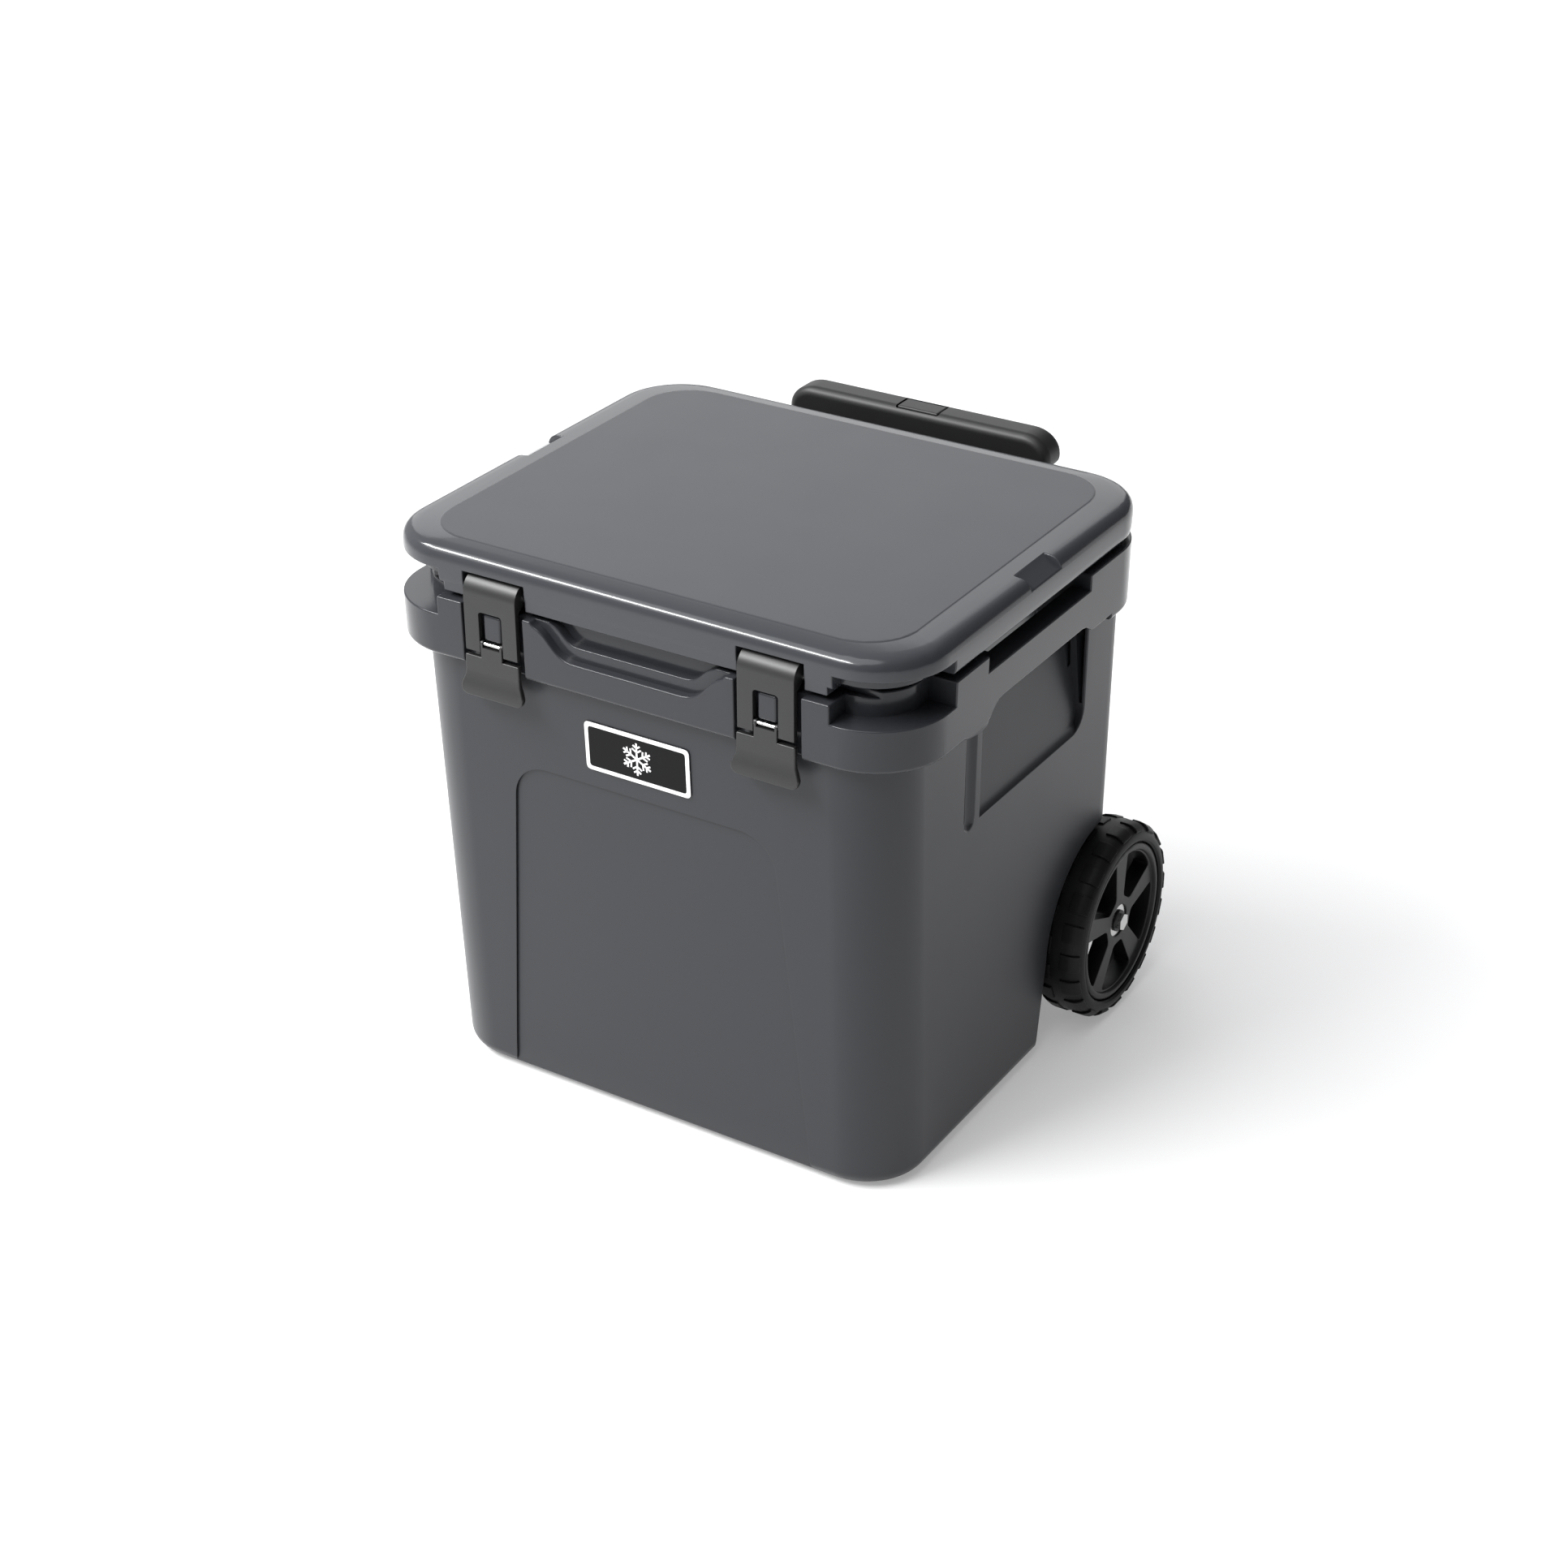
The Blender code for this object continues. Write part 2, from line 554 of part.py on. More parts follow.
# ---------------------------------------------------------------- wheels
def wheel(word, side):
    """Tyre, spoked rim and two bearings, about one end of the axle."""
    middle = (TYRE_INNER_X + TYRE_OUTER_X) / 2
    half = (TYRE_OUTER_X - TYRE_INNER_X) / 2
    place_at = (side * middle, WHEEL_Y, WHEEL_Z)
    bead = RIM_RADIUS + GAP
    tyre_profile = [(0.0765, half), (0.0830, half - 0.0020), (0.0870, half - 0.0065), (TYRE_RADIUS, half - 0.0130),
                    (TYRE_RADIUS, 0.0130 - half), (0.0870, 0.0065 - half), (0.0830, 0.0020 - half), (0.0765, -half),
                    (bead, 0.0025 - half), (bead, half - 0.0025)]
    tyre = turned("tyre_" + word, tyre_profile, place_at, RUBBER, 32, side)
    face = 0.2485 - middle
    seat = 0.0150
    rim_profile = [(0.0690, face), (RIM_RADIUS, face - 0.0030), (RIM_RADIUS, 0.0040 - half), (0.0690, 0.0040 - half),
                   (0.0690, 0.0030), (0.0200, 0.0030), (0.0200, -0.0150), (seat, -0.0150), (seat, -0.0070),
                   (0.0090, -0.0070), (0.0090, 0.0090), (seat, 0.0090), (seat, 0.0180), (0.0640, 0.0180),
                   (0.0660, face)]
    rim = turned("rim_" + word, rim_profile, place_at, BLACK, 32, side)
    for number in range(SPOKES):
        turn = math.radians(90.0 + 360.0 * (number + 0.5) / SPOKES)
        window = prism("rim_window_%s_%d" % (word, number), window_outline(turn), "X", *span(side, 0.2200, 0.2600))
        cut(rim, window)
    bearing_profile = [(BEARING_RADIUS, 0.0035), (BEARING_RADIUS, -0.0035), (AXLE_RADIUS + GAP, -0.0035),
                       (AXLE_RADIUS + GAP, 0.0035)]
    outer = turned("bearing_outer_" + word, bearing_profile, place_at, STEEL, 20, side)
    outer.location.x += side * 0.0130
    inner = turned("bearing_inner_" + word, bearing_profile, place_at, STEEL, 20, side)
    inner.location.x -= side * 0.0110
    return [tyre, rim, outer, inner]


def window_outline(turn):
    """Opening between two spokes, seen along the axle, centred on a direction."""
    outer = arc((0.0, 0.0), 0.0620, -27, 27, 5)
    inner = [(0.0260, 0.0085), (0.0260, -0.0085)]
    points = outer + inner
    return [(WHEEL_Y + a * math.cos(turn) - b * math.sin(turn), WHEEL_Z + a * math.sin(turn) + b * math.cos(turn))
            for a, b in points]


def axle():
    """Steel axle through the tub, with a washer and an end nut outside each wheel and a spacer inside it."""
    cylinder("axle", AXLE_RADIUS, "X", (WHEEL_Y, WHEEL_Z), -0.2475, 0.2475, STEEL)
    hole = AXLE_RADIUS + GAP
    for word, side in SIDES:
        spacer = [(0.0100, 0.0070), (0.0100, -0.0070), (hole, -0.0070), (hole, 0.0070)]
        turned("wheel_spacer_" + word, spacer, (side * 0.2038, WHEEL_Y, WHEEL_Z), BLACK, 20, side)
        washer = [(0.0098, 0.0008), (0.0098, -0.0008), (hole, -0.0008), (hole, 0.0008)]
        turned("axle_washer_" + word, washer, (side * 0.2446, WHEEL_Y, WHEEL_Z), BLACK, 20, side)
        nut = cylinder("axle_nut_" + word, 0.0080, "X", (WHEEL_Y, WHEEL_Z), *span(side, 0.2457, AXLE_END_X), STEEL, 6)
        cut(nut, cylinder("nut_bore_" + word, hole, "X", (WHEEL_Y, WHEEL_Z), *span(side, 0.2400, 0.2478)))


# ---------------------------------------------------------------- pull handle
def guide_screw_places():
    """The handle guides' screws: x, z and the face under each head."""
    return [(x, (guide[0] + guide[1]) / 2, guide[2]) for guide in (UPPER_GUIDE, LOWER_GUIDE)
            for x in (-GUIDE_SCREW_X, GUIDE_SCREW_X)]


def guides():
    """Upper and lower blocks that hold the outer tubes on the back of the tub, with their screws."""
    for name, (low, high, front) in (("handle_guide_upper", UPPER_GUIDE), ("handle_guide_lower", LOWER_GUIDE)):
        made = block(name, (-GUIDE_HALF_X, GUIDE_HALF_X), (front, GUIDE_BACK), (low, high), BLACK)
        tube_floor = low - 0.01 if low > 0.1 else OUTER_TUBE[2] - GAP
        for word, side in SIDES:
            cut(made, cylinder(name + "_bore_" + word, OUTER_TUBE[1] + GAP, "Z", (side * TUBE_X, TUBE_Y),
                               tube_floor, high + 0.01))
            screw_at = (side * GUIDE_SCREW_X, (low + high) / 2)
            cut(made,
                cylinder(name + "_counterbore_" + word, 0.0070, "Y", screw_at, front + 0.0080, 0.26),
                cylinder(name + "_clearance_" + word, 0.0030, "Y", screw_at, front - 0.01, front + 0.01, segments=12))
    for number, (x, z, front) in enumerate(guide_screw_places(), 1):
        screw = cylinder("guide_screw_%d" % number, 0.0025, "Y", (x, z), 0.1720, front + 0.0090, STEEL, 12)
        head = cylinder("screw_head_%d" % number, 0.0050, "Y", (x, z), front + 0.0083, front + 0.0113, segments=16)
        join(screw, head)


def tube(name, size, side, collar=None):
    """One tube of the telescopic handle, with a collar round its top if it has one."""
    bore, radius, low, high = size
    profile = [(radius, high), (radius, low), (bore, low), (bore, high)]
    if collar:
        profile = [(collar, high), (collar, OUTER_TUBE[3] + GAP), (radius, OUTER_TUBE[3] + GAP), (radius, low),
                   (bore, low), (bore, high)]
    return turned(name, profile, (side * TUBE_X, TUBE_Y, 0.0), ALUMINIUM, 20)


def grip():
    """Rounded grip bar with a pocket for its release button and sockets for the inner tubes."""
    made = block("handle_grip", (-GRIP_HALF_X, GRIP_HALF_X), (GRIP_Y - GRIP_DEPTH / 2, GRIP_Y + GRIP_DEPTH / 2),
                 (GRIP_LOW, GRIP_TOP), BLACK, 0.009, 3)
    cut(made, block("button_pocket", (-BUTTON_HALF_X - GAP, BUTTON_HALF_X + GAP),
                    (GRIP_Y - BUTTON_HALF_Y - GAP, GRIP_Y + BUTTON_HALF_Y + GAP), (0.4840, 0.51)))
    for word, side in SIDES:
        cut(made, cylinder("grip_socket_" + word, INNER_TUBE[1] + GAP, "Z", (side * TUBE_X, TUBE_Y),
                           0.45, INNER_TUBE[3] + GAP))
    return made


def release_button():
    """Push button in the top of the grip."""
    return block("release_button", (-BUTTON_HALF_X, BUTTON_HALF_X), (GRIP_Y - BUTTON_HALF_Y, GRIP_Y + BUTTON_HALF_Y),
                 (BUTTON_LOW, GRIP_TOP), BLACK)


# ---------------------------------------------------------------- assembly
def joint_axis(name, place_at, pieces, parent=None):
    """Empty on a joint's axis that carries the pieces which move about it."""
    empty = bpy.data.objects.new(name, None)
    parts.objects.link(empty)
    empty.location = place_at
    if parent:
        empty.parent = parent
        empty.location = Vector(place_at) - parent.matrix_world.translation
    bpy.context.view_layer.update()
    for piece in pieces:
        piece.parent = empty
        piece.matrix_parent_inverse = Matrix.Translation(-Vector(place_at))
    return empty


def named(*names):
    """Parts by name."""
    return [bpy.data.objects[name] for name in names]


def build():
    """Model every piece and hang the moving ones on their axes."""
    tub()
    tub_fittings()
    badge()
    hinge_pins()
    lid()
    axle()
    guides()
    lid_axis = joint_axis("lid_axis", (0.0, HINGE_Y, HINGE_Z),
                          named("lid_shell", "lid_fill_plug", "lid_gasket", "strap_pin_left", "strap_pin_right"))
    for word, side in SIDES:
        tube("handle_tube_outer_" + word, OUTER_TUBE, side)
        strap_axis = joint_axis("strap_axis_" + word, (side * LATCH_X, STRAP_PIVOT_Y, STRAP_PIVOT_Z),
                                [strap(word, side), latch_bar(word, side)], lid_axis)
        joint_axis("lever_axis_" + word, (side * LATCH_X, LEVER_PIVOT_Y, LEVER_PIVOT_Z),
                   [lever(word, side)], strap_axis)
        joint_axis("wheel_axis_" + word, (side * (TYRE_INNER_X + TYRE_OUTER_X) / 2, WHEEL_Y, WHEEL_Z),
                   wheel(word, side))
    middle = joint_axis("handle_stage_1_axis", (0.0, TUBE_Y, MIDDLE_TUBE[3]),
                        [tube("handle_tube_middle_" + word, MIDDLE_TUBE, side, 0.0110) for word, side in SIDES])
    inner = [tube("handle_tube_inner_" + word, INNER_TUBE, side) for word, side in SIDES]
    top = joint_axis("handle_stage_2_axis", (0.0, TUBE_Y, INNER_TUBE[3]), inner + [grip()], middle)
    joint_axis("button_axis", (0.0, GRIP_Y, GRIP_TOP), [release_button()], top)


build()
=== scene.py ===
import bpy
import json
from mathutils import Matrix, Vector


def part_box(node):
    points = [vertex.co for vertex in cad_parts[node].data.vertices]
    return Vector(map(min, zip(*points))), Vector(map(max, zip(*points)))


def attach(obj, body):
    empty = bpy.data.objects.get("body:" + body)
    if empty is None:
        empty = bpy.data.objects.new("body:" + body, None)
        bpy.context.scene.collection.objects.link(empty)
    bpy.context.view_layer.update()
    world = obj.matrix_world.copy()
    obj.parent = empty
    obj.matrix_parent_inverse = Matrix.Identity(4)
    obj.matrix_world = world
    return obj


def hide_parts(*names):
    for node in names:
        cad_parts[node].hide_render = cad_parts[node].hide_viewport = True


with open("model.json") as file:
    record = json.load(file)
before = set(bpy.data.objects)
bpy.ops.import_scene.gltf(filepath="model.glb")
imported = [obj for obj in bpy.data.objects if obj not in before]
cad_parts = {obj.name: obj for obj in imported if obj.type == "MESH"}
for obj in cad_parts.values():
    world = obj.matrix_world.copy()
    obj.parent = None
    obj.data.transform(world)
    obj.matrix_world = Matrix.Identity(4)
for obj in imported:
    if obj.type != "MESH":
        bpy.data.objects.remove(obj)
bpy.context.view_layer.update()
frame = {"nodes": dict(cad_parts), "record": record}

import json
import math

import bmesh
import bpy
from mathutils import Euler, Matrix, Vector

# ------------------------------------------------------------------ values taken from the frame
SIDES = (("left", -1), ("right", 1))
LID_LOW_CORNER, LID_HIGH_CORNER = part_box("lid_shell")
LID_HALF_X = LID_HIGH_CORNER.x
LID_FRONT = LID_LOW_CORNER.y
LID_BACK = LID_HIGH_CORNER.y
LID_TOP = LID_HIGH_CORNER.z
COLLAR_HALF_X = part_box("tub_shell")[1].x
COLLAR_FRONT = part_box("tub_shell")[0].y
COLLAR_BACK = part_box("tub_shell")[1].y
COLLAR_TOP = LID_LOW_CORNER.z + 0.0085
TUB_BASE_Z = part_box("tub_shell")[0].z
HINGE_Z = 0.4550
HINGE_Y = 0.1654
GRIP_LOW_CORNER, GRIP_HIGH_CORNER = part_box("handle_grip")
TYRE_LOW_CORNER, TYRE_HIGH_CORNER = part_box("tyre_right")
WHEEL_Y = (TYRE_LOW_CORNER.y + TYRE_HIGH_CORNER.y) / 2
WHEEL_Z = (TYRE_LOW_CORNER.z + TYRE_HIGH_CORNER.z) / 2
TYRE_INNER_X = TYRE_LOW_CORNER.x
TYRE_OUTER_X = TYRE_HIGH_CORNER.x
TYRE_MIDDLE_X = (TYRE_INNER_X + TYRE_OUTER_X) / 2
TYRE_HALF = (TYRE_OUTER_X - TYRE_INNER_X) / 2

# ------------------------------------------------------------------ the tub's and lid's own sizes
LID_LOW = 0.4615
LID_CORNER = 0.060
SKIRT_LOW = 0.4560
SKIRT_HALF_X = 0.1755
PANEL_HALF_X = 0.2150
PANEL_FRONT = -0.2075
PANEL_BACK = 0.1554
COLLAR_LOW = 0.3990
COLLAR_FRONT_TOP = 0.4515
COLLAR_CORNER = 0.062
BODY_CORNER = 0.054
LATCH_X = 0.1265
LATCH_POCKET_HALF = 0.0292
LATCH_POCKET_FLOOR = -0.2255
STRAP_PIVOT_Y = -0.2226
STRAP_PIVOT_Z = 0.4630
POCKET_FRONT = -0.0780
POCKET_BACK = 0.1010
POCKET_LOW = 0.2970
POCKET_HIGH = 0.4130
SLOT_FRONT = -0.1100
SLOT_BACK = 0.0590
SLOT_LOW = 0.4430
WELL_RADIUS = 0.0945
TREAD_BLOCKS = 20
SPOKES = 5
LATCH_BAR = (-0.2342, 0.4218)
WALL_TOP_Z = 0.4300
BODY_FOOT_HALF = 0.2225
BODY_TOP_HALF = 0.2257
BODY_FOOT_FRONT = -0.2066
CUT_ABOVE = 0.48
CUT_BEYOND = 0.26
TUB_PIN_SPAN = (0.100, 0.230)
LID_KNUCKLE_SPAN = (0.1430, 0.1770)
TUB_KNUCKLE_SPANS = ((0.1080, 0.1423), (0.1777, 0.2120))


# ------------------------------------------------------------------ mesh tools
def as_piece(bm, name):
    """Turn a bmesh into an object at the origin."""
    mesh = bpy.data.meshes.new(name)
    bm.to_mesh(mesh)
    bm.free()
    piece = bpy.data.objects.new(name, mesh)
    bpy.context.scene.collection.objects.link(piece)
    return piece


def round_edges(bm, edges, radius, segments=4):
    """Bevel a set of edges to a round."""
    bmesh.ops.bevel(bm, geom=edges, offset=radius, offset_type="OFFSET", segments=segments,
                    profile=0.5, affect="EDGES", clamp_overlap=False, material=-1)


def upright(edge):
    """Whether an edge climbs."""
    return abs(edge.verts[0].co.z - edge.verts[1].co.z) > 0.001


def level(edge, height):
    """Whether an edge lies at a height."""
    return all(abs(vertex.co.z - height) < 1e-5 for vertex in edge.verts)


def rounded_rectangle(half, front, back, corner, z, count=14):
    """Ring of points round a level rectangle with round corners."""
    ring = []
    for x_sign, y_edge, start in ((1, back, 0), (-1, back, 90), (-1, front, 180), (1, front, 270)):
        y_sign = 1 if y_edge == back else -1
        middle = (x_sign * (half - corner), y_edge - y_sign * corner)
        ring += [Vector((x, y, z)) for x, y in arc(middle, corner, start, start + 90, count)]
    return ring


def wall_between(bm, rings):
    """Join rings of points one above the other, and close the first and last."""
    for low, high in zip(rings, rings[1:]):
        for index in range(len(low)):
            after = (index + 1) % len(low)
            bm.faces.new((low[index], low[after], high[after], high[index]))
    bm.faces.new(list(reversed(rings[0])))
    bm.faces.new(rings[-1])


def loft(name, rows, count=14):
    """Solid through level rounded rectangles given as (half width, front, back, corner, z), upwards."""
    bm = bmesh.new()
    wall_between(bm, [[bm.verts.new(point) for point in rounded_rectangle(*row, count)] for row in rows])
    return as_piece(bm, name)


def tapered(name, base, top, corner=0.0, segments=16, base_round=0.0, rounds=5):
    """Block between two level rectangles (half width, front, back, z) with rounded corners and foot."""
    bm = bmesh.new()
    bmesh.ops.create_cube(bm, size=2.0)
    for vertex in bm.verts:
        half, front, back, z = top if vertex.co.z > 0 else base
        vertex.co = Vector((math.copysign(half, vertex.co.x), back if vertex.co.y > 0 else front, z))
    if corner:
        round_edges(bm, [edge for edge in bm.edges if upright(edge)], corner, segments)
    if base_round:
        round_edges(bm, [edge for edge in bm.edges if level(edge, base[3])], base_round, rounds)
    bmesh.ops.recalc_face_normals(bm, faces=bm.faces)
    return as_piece(bm, name)


def block(name, x_range, y_range, z_range, radius=0.0, segments=3):
    """Box between three ranges, with all its edges rounded if asked."""
    low = Vector((x_range[0], y_range[0], z_range[0]))
    high = Vector((x_range[1], y_range[1], z_range[1]))
    bm = bmesh.new()
    size = Matrix.Diagonal((*(high - low), 1.0))
    bmesh.ops.create_cube(bm, size=1.0, matrix=Matrix.Translation((low + high) / 2) @ size)
    if radius:
        round_edges(bm, bm.edges[:], radius, segments)
    return as_piece(bm, name)


def grown(outline, distance):
    """Outline moved outwards by a distance."""
    points = []
    for index, corner in enumerate(outline):
        here = Vector(corner)
        along = (Vector(outline[(index + 1) % len(outline)]) - here).normalized()
        along += (here - Vector(outline[index - 1])).normalized()
        along.normalize()
        points.append((here.x + along.y * distance, here.y - along.x * distance))
    return points


def sunk(name, outline, front, step, depth, flare):
    """Shallow cutter along Y whose walls slope by a flare over the depth of the sinking."""
    bm = bmesh.new()
    rings = []
    for grow, y in ((flare, front), (flare, step), (0.0, depth)):
        rings.append([bm.verts.new((a, y, b)) for a, b in grown(outline, grow)])
    wall_between(bm, rings)
    bmesh.ops.recalc_face_normals(bm, faces=bm.faces)
    return as_piece(bm, name)


AXES = {
    "X": Matrix(((0, 0, 1), (1, 0, 0), (0, 1, 0))),
    "Y": Matrix(((1, 0, 0), (0, 0, -1), (0, 1, 0))),
    "Z": Matrix.Identity(3),
}


def prism(name, outline, axis, low, high, radius=0.0, segments=3):
    """Outline in (y, z), (x, z) or (x, y) drawn out along the third axis, its two rims rounded if asked."""
    bm = bmesh.new()
    turn = AXES[axis]
    start, end = (-high, -low) if axis == "Y" else (low, high)
    floor = bm.faces.new([bm.verts.new(turn @ Vector((a, b, start))) for a, b in outline])
    raised = bmesh.ops.extrude_face_region(bm, geom=[floor])
    moved = [item for item in raised["geom"] if isinstance(item, bmesh.types.BMVert)]
    bmesh.ops.translate(bm, verts=moved, vec=turn @ Vector((0, 0, end - start)))
    bmesh.ops.recalc_face_normals(bm, faces=bm.faces)
    if radius:
        along = (turn @ Vector((0, 0, 1))).normalized()
        rims = [edge for edge in bm.edges
                if abs((edge.verts[1].co - edge.verts[0].co).normalized().dot(along)) < 0.5]
        round_edges(bm, rims, radius, segments)
    return as_piece(bm, name)


def cylinder(name, radius, axis, centre, low, high, segments=32):
    """Round bar along an axis through a centre given in the other two coordinates."""
    bm = bmesh.new()
    bmesh.ops.create_cone(bm, cap_ends=True, segments=segments, radius1=radius, radius2=radius,
                          depth=high - low)
    a, b = centre
    middle = (low + high) / 2
    places = {"X": (middle, a, b), "Y": (a, middle, b), "Z": (a, b, middle)}
    bmesh.ops.transform(bm, matrix=Matrix.Translation(places[axis]) @ AXES[axis].to_4x4(), verts=bm.verts)
    bmesh.ops.recalc_face_normals(bm, faces=bm.faces)
    return as_piece(bm, name)


def turned(name, profile, centre, axis, side, steps):
    """Closed (radius, distance) profile spun about X or Z through a centre."""
    bm = bmesh.new()
    corners = [bm.verts.new((radius, 0.0, height)) for radius, height in profile]
    edges = [bm.edges.new(pair) for pair in zip(corners, corners[1:] + corners[:1])]
    bmesh.ops.spin(bm, geom=corners + edges, cent=(0, 0, 0), axis=(0, 0, 1), dvec=(0, 0, 0),
                   angle=math.tau, steps=steps, use_merge=True, use_duplicate=False)
    bmesh.ops.remove_doubles(bm, verts=bm.verts, dist=1e-6)
    turn = Euler((0, math.radians(90) * side if axis == "X" else 0, 0)).to_matrix().to_4x4()
    bmesh.ops.transform(bm, matrix=Matrix.Translation(centre) @ turn, verts=bm.verts)
    bmesh.ops.recalc_face_normals(bm, faces=bm.faces)
    return as_piece(bm, name)


def carve(piece, *cutters, operation="DIFFERENCE"):
    """Cut or join other solids and take the result as the piece's mesh."""
    for cutter in cutters:
        modifier = piece.modifiers.new("carve", "BOOLEAN")
        modifier.operation = operation
        modifier.solver = "EXACT"
        modifier.object = cutter
    bpy.context.view_layer.update()
    evaluated = piece.evaluated_get(bpy.context.evaluated_depsgraph_get())
    mesh = bpy.data.meshes.new_from_object(evaluated)
    piece.modifiers.clear()
    old = piece.data
    piece.data = mesh
    bpy.data.meshes.remove(old)
    for cutter in cutters:
        bpy.data.objects.remove(cutter, do_unlink=True)
    return piece


def unite(piece, *others):
    """Join other solids to a piece."""
    return carve(piece, *others, operation="UNION")


def soften(piece, radius, segments=3, angle=32.0, where=None, shortest=0.00008):
    """Round every sharp outward edge of a piece, or those whose middle a test picks."""
    bm = bmesh.new()
    bm.from_mesh(piece.data)
    bmesh.ops.triangulate(bm, faces=bm.faces, ngon_method="BEAUTY")
    bmesh.ops.dissolve_degenerate(bm, dist=shortest, edges=bm.edges)
    bmesh.ops.triangulate(bm, faces=bm.faces, ngon_method="BEAUTY")
    sharp = [edge for edge in bm.edges
             if len(edge.link_faces) == 2 and edge.is_convex
             and edge.calc_face_angle(0.0) > math.radians(angle)
             and (where is None or where((edge.verts[0].co + edge.verts[1].co) / 2))]
    round_edges(bm, sharp, radius, segments)
    bm.to_mesh(piece.data)
    bm.free()
    return piece


def smooth(piece, angle=40.0):
    """Shade a piece smooth, with its flat faces kept flat by weighted normals."""
    piece.data.shade_smooth()
    piece.data.set_sharp_from_angle(angle=math.radians(angle))
    weighted = piece.modifiers.new("even shading", "WEIGHTED_NORMAL")
    weighted.keep_sharp = True
    return piece


def arc(centre, radius, start, end, count):
    """Points on an arc, angles in degrees."""
    angles = [math.radians(start + (end - start) * step / count) for step in range(count + 1)]
    return [(centre[0] + radius * math.cos(angle), centre[1] + radius * math.sin(angle))
            for angle in angles]


def rounded(outline, radius, count=5):
    """Outline with its corners rounded."""
    points = []
    for index, corner in enumerate(outline):
        here = Vector(corner)
        before = Vector(outline[index - 1]) - here
        after = Vector(outline[(index + 1) % len(outline)]) - here
        reach = min(radius, before.length * 0.48, after.length * 0.48)
        start = here + before.normalized() * reach
        end = here + after.normalized() * reach
        for step in range(count + 1):
            t = step / count
            points.append(tuple(start * (1 - t) ** 2 + here * 2 * t * (1 - t) + end * t ** 2))
    return points


def mirrored(outline, side):
    """Outline turned over to the given side."""
    return [(side * x, y) for x, y in outline]


def span(side, near, far):
    """Range from near to far of the middle, on the given side."""
    return (near, far) if side > 0 else (-far, -near)


# ------------------------------------------------------------------ tub
def well_outline():
    """Wheel well in side view."""
    bow = arc((WHEEL_Y, WHEEL_Z), WELL_RADIUS, 60, 180, 28)
    return [(0.2600, bow[0][1])] + bow + [(0.0450, 0.0150), (0.0450, -0.0200), (0.2600, -0.0200)]


def tie_outline(inner, side, outer=0.0750, end_y=-0.1600):
    """Corner slot in plan."""
    centre = (COLLAR_HALF_X - COLLAR_CORNER, COLLAR_FRONT + COLLAR_CORNER)
    points = [(0.1800, centre[1] - outer)] + arc(centre, outer, -90, 0, 16)
    points += [(centre[0] + outer, end_y), (centre[0] + inner, end_y)]
    points += arc(centre, inner, 0, -90, 16) + [(0.1800, centre[1] - inner)]
    return mirrored(points, side)


def panel_outline():
    """Sunken front panel: rounded at the top, wider at the foot, running off the bottom."""
    right = arc((0.0910, 0.2790), 0.0350, 90, 5, 12) + [(0.1480, 0.0300), (0.1500, -0.0100)]
    return right + [(-x, z) for x, z in reversed(right)]


def scoop_outline(foot_half, foot_z, top_half, rim_z):
    """Finger scoop seen from the front: rounded foot, flaring where it meets the rim."""
    top = COLLAR_TOP + 0.010
    flared = top_half + 0.0100
    right = [(foot_half, foot_z), (top_half, rim_z), (flared, rim_z + 0.0040), (flared, top)]
    return rounded(right + [(-x, z) for x, z in reversed(right)], 0.0120, 6)


def flange_outline():
    """Opening under the carrying bar, seen from the side, with its ends curving down to the pocket."""
    return [(-0.0700, 0.3900), (-0.1080, 0.3900), (-0.1060, 0.3965), (-0.1040, 0.4015), (-0.1005, 0.4060),
            (-0.0960, 0.4095), (-0.0910, 0.4120), (-0.0850, 0.4130), (0.0480, 0.4130), (0.0550, 0.4118),
            (0.0610, 0.4085), (0.0660, 0.4055), (0.0720, 0.4045), (0.0720, 0.3900)]


def cheek_outline():
    """Where the collar's lower edge dips towards the front of the side pocket."""
    return [(-0.1560, 0.4040), (-0.1440, 0.3995), (-0.1340, 0.3965), (-0.1240, 0.3948), (-0.1140, 0.3945),
            (-0.1075, 0.3960), (-0.1045, 0.4000), (-0.1030, 0.4040), (-0.1030, 0.4200), (-0.1560, 0.4200)]


def pocket_outline():
    """Side pocket seen from the front: its floor leans in towards the top."""
    return [(0.2190, POCKET_LOW + 0.0050), (0.2245, POCKET_LOW), (0.2700, POCKET_LOW), (0.2700, 0.4050),
            (0.2265, 0.4050), (0.2265, POCKET_HIGH), (0.1985, POCKET_HIGH)]


def pocket_mouth():
    """Side pocket seen from the side, with rounded lower corners."""
    low = arc((POCKET_BACK - 0.0200, POCKET_LOW + 0.0200), 0.0200, 0, -90, 8)
    low += arc((POCKET_FRONT + 0.0060, POCKET_LOW - 0.0050), 0.0060, -90, -180, 4)
    return [(POCKET_BACK, 0.4300)] + low + [(POCKET_FRONT, 0.4300)]


def pocket(side):
    """Cutter for one side pocket."""
    made = prism("pocket", mirrored(pocket_outline(), side), "Y", POCKET_FRONT - 0.01, POCKET_BACK + 0.01)
    return carve(made, prism("mouth", pocket_mouth(), "X", *span(side, 0.19, 0.28)), operation="INTERSECT")


